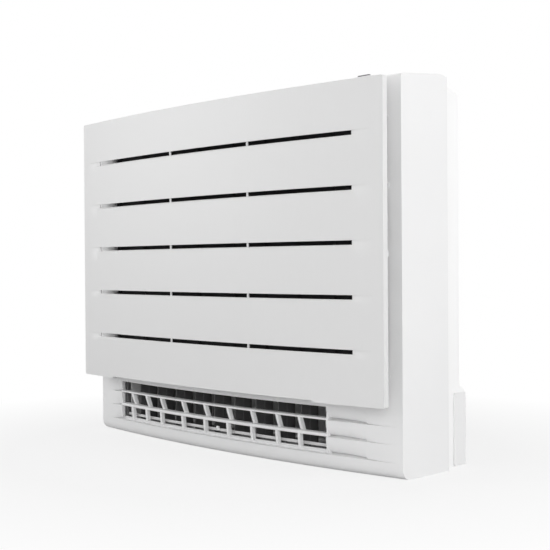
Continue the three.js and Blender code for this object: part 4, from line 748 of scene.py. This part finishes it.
def grille_ribs():
    """Upright ribs of the two lower rows. They lean back towards their feet by
    lean * (1 - t)^1.3, those of the upper of the two rows more."""
    t = np.linspace(0, 1, 6)
    for level, lean in RIB_LEANS.items():
        low, high = OUTLET_ROWS[level] + np.array([-1.5, 2]) * MM
        for number, x in enumerate(RIBS_AT, 1):
            face = body_front(x)
            front = np.column_stack([face + 1.2 * MM + lean * (1 - t) ** 1.3,
                                     low + t * (high - low)])
            back = face + RIB_DEPTH
            outline = np.array([*front, (back, high), (back + lean, low)])
            prism_x(f"grille_rib_{level}_{number}", outline, x + np.array([-0.5, 0.5]) * RIB_WIDTH,
                    "lower_outlet_grille", 0.7 * MM)


def grille_frame():
    """The frame behind the shingles that the bars and ribs run into."""
    xs = np.linspace(OUTLET[0] - 3 * MM, OUTLET[1] + 3 * MM, 30)
    back = SHINGLE_DEPTH + 1 * MM
    for label, low, high in (("top", OUTLET_ROWS[0][1], SHINGLE_TOPS[0] - 0.5 * MM),
                             ("foot", SHINGLE_TOPS[-1] + 0.5 * MM, OUTLET_ROWS[-1][0])):
        section = [(back, low), (back, high), (BAR_DEPTH, high), (BAR_DEPTH, low)]
        swept_along(f"grille_frame_{label}", xs, section, "lower_outlet_grille", 0)


def grille_cheeks():
    """The outlet's shallow end walls, and a dark strip behind the left one: painted shade that
    closes the view past it."""
    for label, x, way in (("left", OUTLET[0], -1), ("right", OUTLET[1], 1)):
        span = sorted((x, x + way * 3 * MM))
        near, far = body_front(abs(x) + 3 * MM) + 1 * MM, body_front(abs(x)) + CHEEK_DEPTH
        low, high = OUTLET_ROWS[-1][0] - 1 * MM, OUTLET_ROWS[0][1] + 1 * MM
        outline = np.array([(near, low), (far, low), (far, high), (near, high)])
        prism_x(f"grille_cheek_{label}", outline, span, "lower_outlet_grille", 0.3 * MM)
    # Painted shade: a dark strip in the vane finish where the duct past the left cheek lies in
    # shade.
    low, high = OUTLET_ROWS[-1][0], OUTLET_ROWS[0][1]
    near, far = body_front(OUTLET[0]) + CHEEK_DEPTH + 1 * MM, body_front(OUTLET[0]) + BAR_DEPTH
    outline = np.array([(near, low), (far, low), (far, high), (near, high)])
    prism_x("grille_end_painted_shade", outline, (OUTLET[0], OUTLET[0] + 7 * MM), "lower_outlet_grille",
            0.3 * MM, "vane_dark")


def vane_rail():
    """The pale rail low behind the bottom row, with the two clips that hold the vanes in."""
    xs = np.linspace(OUTLET[0] - 2 * MM, OUTLET[1] + 2 * MM, 40)
    low, high = RAIL_LOW, RAIL_HIGH
    near, far = BAR_DEPTH - 3.4 * MM, BAR_DEPTH - 1.6 * MM
    section = [(near, low), (far, low), (far, high), (near + 0.7 * MM, high),
               (near, high - 1.5 * MM)]
    swept_along("vane_rail", xs, section, "lower_outlet_grille", 0.3 * MM, "key_grey")
    for label, x in CLIPS_AT.items():
        front = body_front(x) + near
        turn = np.radians(np.linspace(200, -20, 9))
        hook = [(front - 2.2 * MM + 2.4 * MM * math.cos(a),
                 high + 1.5 * MM + 2.6 * MM * math.sin(a)) for a in turn]
        hook += [(front + 0.2 * MM, high - 3 * MM), (front - 1.4 * MM, high - 3 * MM),
                 (front - 1.4 * MM, high + 1 * MM), (front - 2.9 * MM, high + 1 * MM)]
        prism_x(f"vane_clip_{label}", np.array(hook), (x - 2.2 * MM, x + 2.2 * MM),
                "lower_outlet_grille", 0.2 * MM)


# Each ring's radius, and how far it lies behind the casing's front, in mm.
PLUG_RINGS = ((3.9, 0.3), (3.9, -0.1), (3.4, -0.35), (1.6, -0.5))
PLUG_SIDES = 24


def screw_plugs():
    """White plugs over the casing's screws, nearly flush with the front."""
    turn = np.linspace(0, 2 * math.pi, PLUG_SIDES + 1)[:-1]
    at = np.arange(len(PLUG_RINGS) * PLUG_SIDES).reshape(len(PLUG_RINGS), PLUG_SIDES)
    rolled = np.roll(at, -1, axis=1)
    quads = np.stack([at[:-1], at[1:], rolled[1:], rolled[:-1]], -1).reshape(-1, 4)
    faces = [*quads.tolist(), at[-1].tolist(), at[0][::-1].tolist()]
    for side in ("left", "right"):
        for end in ("low", "high"):
            screw = f"casing_screw_{side}_{end}"
            low, high = node_box(screw)
            middle = (low + high) / 2
            front = body_front(middle[0])
            rings = []
            for radius, back in PLUG_RINGS:
                rings.append(np.column_stack([middle[0] + radius * MM * np.cos(turn),
                                              np.full(PLUG_SIDES, front + back * MM),
                                              middle[2] + radius * MM * np.sin(turn)]))
            plug = piece(f"screw_plug_{side}_{end}", np.stack(rings), faces, screw, 0, 0,
                         "casing_white")
            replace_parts(plug, f"casing_screw_{side}_{end}")


# ---- Top: display and flap ----------------------------------------------------------------
PANE_DEPTH = 0.22  # of its solid's depth
PANE_INSETS = (5 * MM, 7 * MM)  # from its solid's left and right end
FLAP_GAP = 1.2 * MM
FLAP_PIVOT_Y = TOP_OUTLET[3] - 5.2 * MM
FLAP_PIVOT_Z = body_top(FLAP_PIVOT_Y) - 5.5 * MM
FLAP_NOSE = 4 * MM


def display():
    """The display's nearly level cap, which thins out towards the back as the casing's top
    rises, and its smoke window."""
    low, high = node_box("display_housing")
    wl, wh = node_box("display_window")
    upper = zip(np.linspace(low[1], high[1], 5),
                np.linspace(wl[2] - 0.3 * MM, wl[2] + 0.2 * MM, 5))
    foot = [(y, body_top(y) + 0.3 * MM) for y in (high[1], low[1])]
    cap = prism_x("display_cap", np.array([*upper, *foot]), (low[0], high[0]),
                  "display_housing", 0.8 * MM)
    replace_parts(cap, "display_housing")
    deep = wl[1] + PANE_DEPTH * (wh[1] - wl[1])
    window = [(wl[1], wl[2]), (deep, wl[2] + 0.2 * MM), (deep, wh[2]), (wl[1], wh[2] - 0.4 * MM)]
    span = (wl[0] + PANE_INSETS[0], wh[0] - PANE_INSETS[1])
    pane = prism_x("display_pane", np.array(window), span, "display_window", 0.4 * MM)
    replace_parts(pane, "display_window")


def flap():
    """The flap over the upper outlet: a skin that follows the casing's top, a rounded nose
    behind its pivot, and an underside that runs forward to a thin front edge."""
    skin_y = np.linspace(TOP_OUTLET[2] + FLAP_GAP, FLAP_PIVOT_Y, 6)
    rise = body_top(FLAP_PIVOT_Y) - FLAP_PIVOT_Z
    nose = [(FLAP_PIVOT_Y + FLAP_NOSE * math.cos(a),
             FLAP_PIVOT_Z + (rise if a > 0 else 3 * MM) * math.sin(a))
            for a in np.radians(np.linspace(75, -90, 12))]
    edge_y, edge_z = skin_y[0], body_top(skin_y[0])
    outline = [*[(y, body_top(y)) for y in skin_y], *nose,
               (edge_y + 6 * MM, edge_z - 4 * MM), (edge_y, edge_z - 1.4 * MM)]
    span = (TOP_OUTLET[0] + FLAP_GAP, TOP_OUTLET[1] - FLAP_GAP)
    leaf = prism_x("flap_leaf", np.array(outline), span, "upper_flap", 0.4 * MM)
    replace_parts(leaf, "upper_flap")


# ---- Studio -------------------------------------------------------------------------------
FLOOR_REACH = 8.0  # half the floor's side
FLOOR_NEAR = 0.42  # where the floor starts to turn whiter
FLOOR_FADE = 2.2  # how fast it does, for each metre
FLOOR_GLOW = 0.78  # plain white's share of what the camera sees near the object
FLOOR_GLOW_FAR = 0.22  # what is added to that far off
SKY_LEVEL = 0.32  # the world's light on the object
SKY_DROP = 0.06  # how much less of it comes from straight above
LAMPS = (  # name, place, where it points, width and height, power
    ("right_rear", (2.3, 0.9, 1.1), (0.3, 0, 0.3), (1.8, 1.8), 19),
    ("front_left", (-2.6, -2.2, 1.2), (0, 0, 0.3), (2, 1.6), 35.5),
    ("front_right", (2.4, -2.0, 0.9), (0.2, 0, 0.3), (1.6, 1.4), 33.5),
    ("overhead", (0, -0.2, 2.8), (0, 0, 0.3), (2.4, 2.0), 18),
)


def studio_floor():
    """A pale floor that takes the object's shadow and turns plain white with distance."""
    mesh = bpy.data.meshes.new("studio_floor")
    corners = [(x * FLOOR_REACH, y * FLOOR_REACH, 0)
               for x, y in ((-1, -1), (1, -1), (1, 1), (-1, 1))]
    mesh.from_pydata(corners, [], [(0, 1, 2, 3)])
    floor = bpy.data.objects.new("studio_floor", mesh)
    bpy.context.scene.collection.objects.link(floor)
    f = Finish("studio_floor")
    cloud = f.noise(3, 3)
    f.set(Base_Color=f.mix(cloud, grey(0.72), grey(0.70)), Roughness=0.9)
    place = f.node("ShaderNodeSeparateXYZ", None, {"Vector": f.place()})
    across, along = f.value(place.outputs["X"]), f.value(place.outputs["Y"])
    away = (across * across + along * along) ** 0.5
    far = ((away - FLOOR_NEAR) * FLOOR_FADE).clamped()
    seen = f.value(f.node("ShaderNodeLightPath").outputs["Is Camera Ray"])
    glow = f.node("ShaderNodeEmission", None, {"Color": (1, 1, 1, 1), "Strength": 1.0})
    share = far * seen * FLOOR_GLOW_FAR + seen * FLOOR_GLOW
    mixed = f.node("ShaderNodeMixShader", None, {
        0: share, 1: f.bsdf.outputs["BSDF"], 2: glow.outputs["Emission"]})
    f.feed(f.tree.nodes["Material Output"].inputs["Surface"], mixed.outputs["Shader"])
    mesh.materials.append(f.material)


def studio_world():
    """A white backdrop for the camera and for glossy and clear surfaces, a softer grey light
    for everything else."""
    world = bpy.data.worlds.new("studio_world")
    world.use_nodes = True
    tree = world.node_tree
    path = tree.nodes.new("ShaderNodeLightPath")
    seen = (Value(tree, path.outputs["Is Camera Ray"])
            + Value(tree, path.outputs["Is Transmission Ray"]))
    bright = (seen + Value(tree, path.outputs["Is Glossy Ray"])).clamped()
    background = tree.nodes["Background"]
    background.inputs["Color"].default_value = (1, 1, 1, 1)
    way = tree.nodes.new("ShaderNodeSeparateXYZ")
    tree.links.new(tree.nodes.new("ShaderNodeTexCoord").outputs["Generated"], way.inputs["Vector"])
    above = Value(tree, way.outputs["Z"]).clamped()
    soft = SKY_LEVEL - above * SKY_DROP
    tree.links.new((bright + soft * (1 - bright)).socket, background.inputs["Strength"])
    bpy.context.scene.world = world


make_camera()
studio_floor()
for lamp in LAMPS:
    area_light(*lamp)
studio_world()
bpy.context.scene.view_settings.view_transform = "Standard"

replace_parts(front_panel(), "front_panel")
hinge_lugs()
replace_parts(front_casing(), "front_casing")
window_rim()
hinge_ears()
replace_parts(grille_face(), "lower_outlet_grille")
grille_bars()
grille_ribs()
grille_frame()
grille_cheeks()
vane_rail()
screw_plugs()
display()
flap()
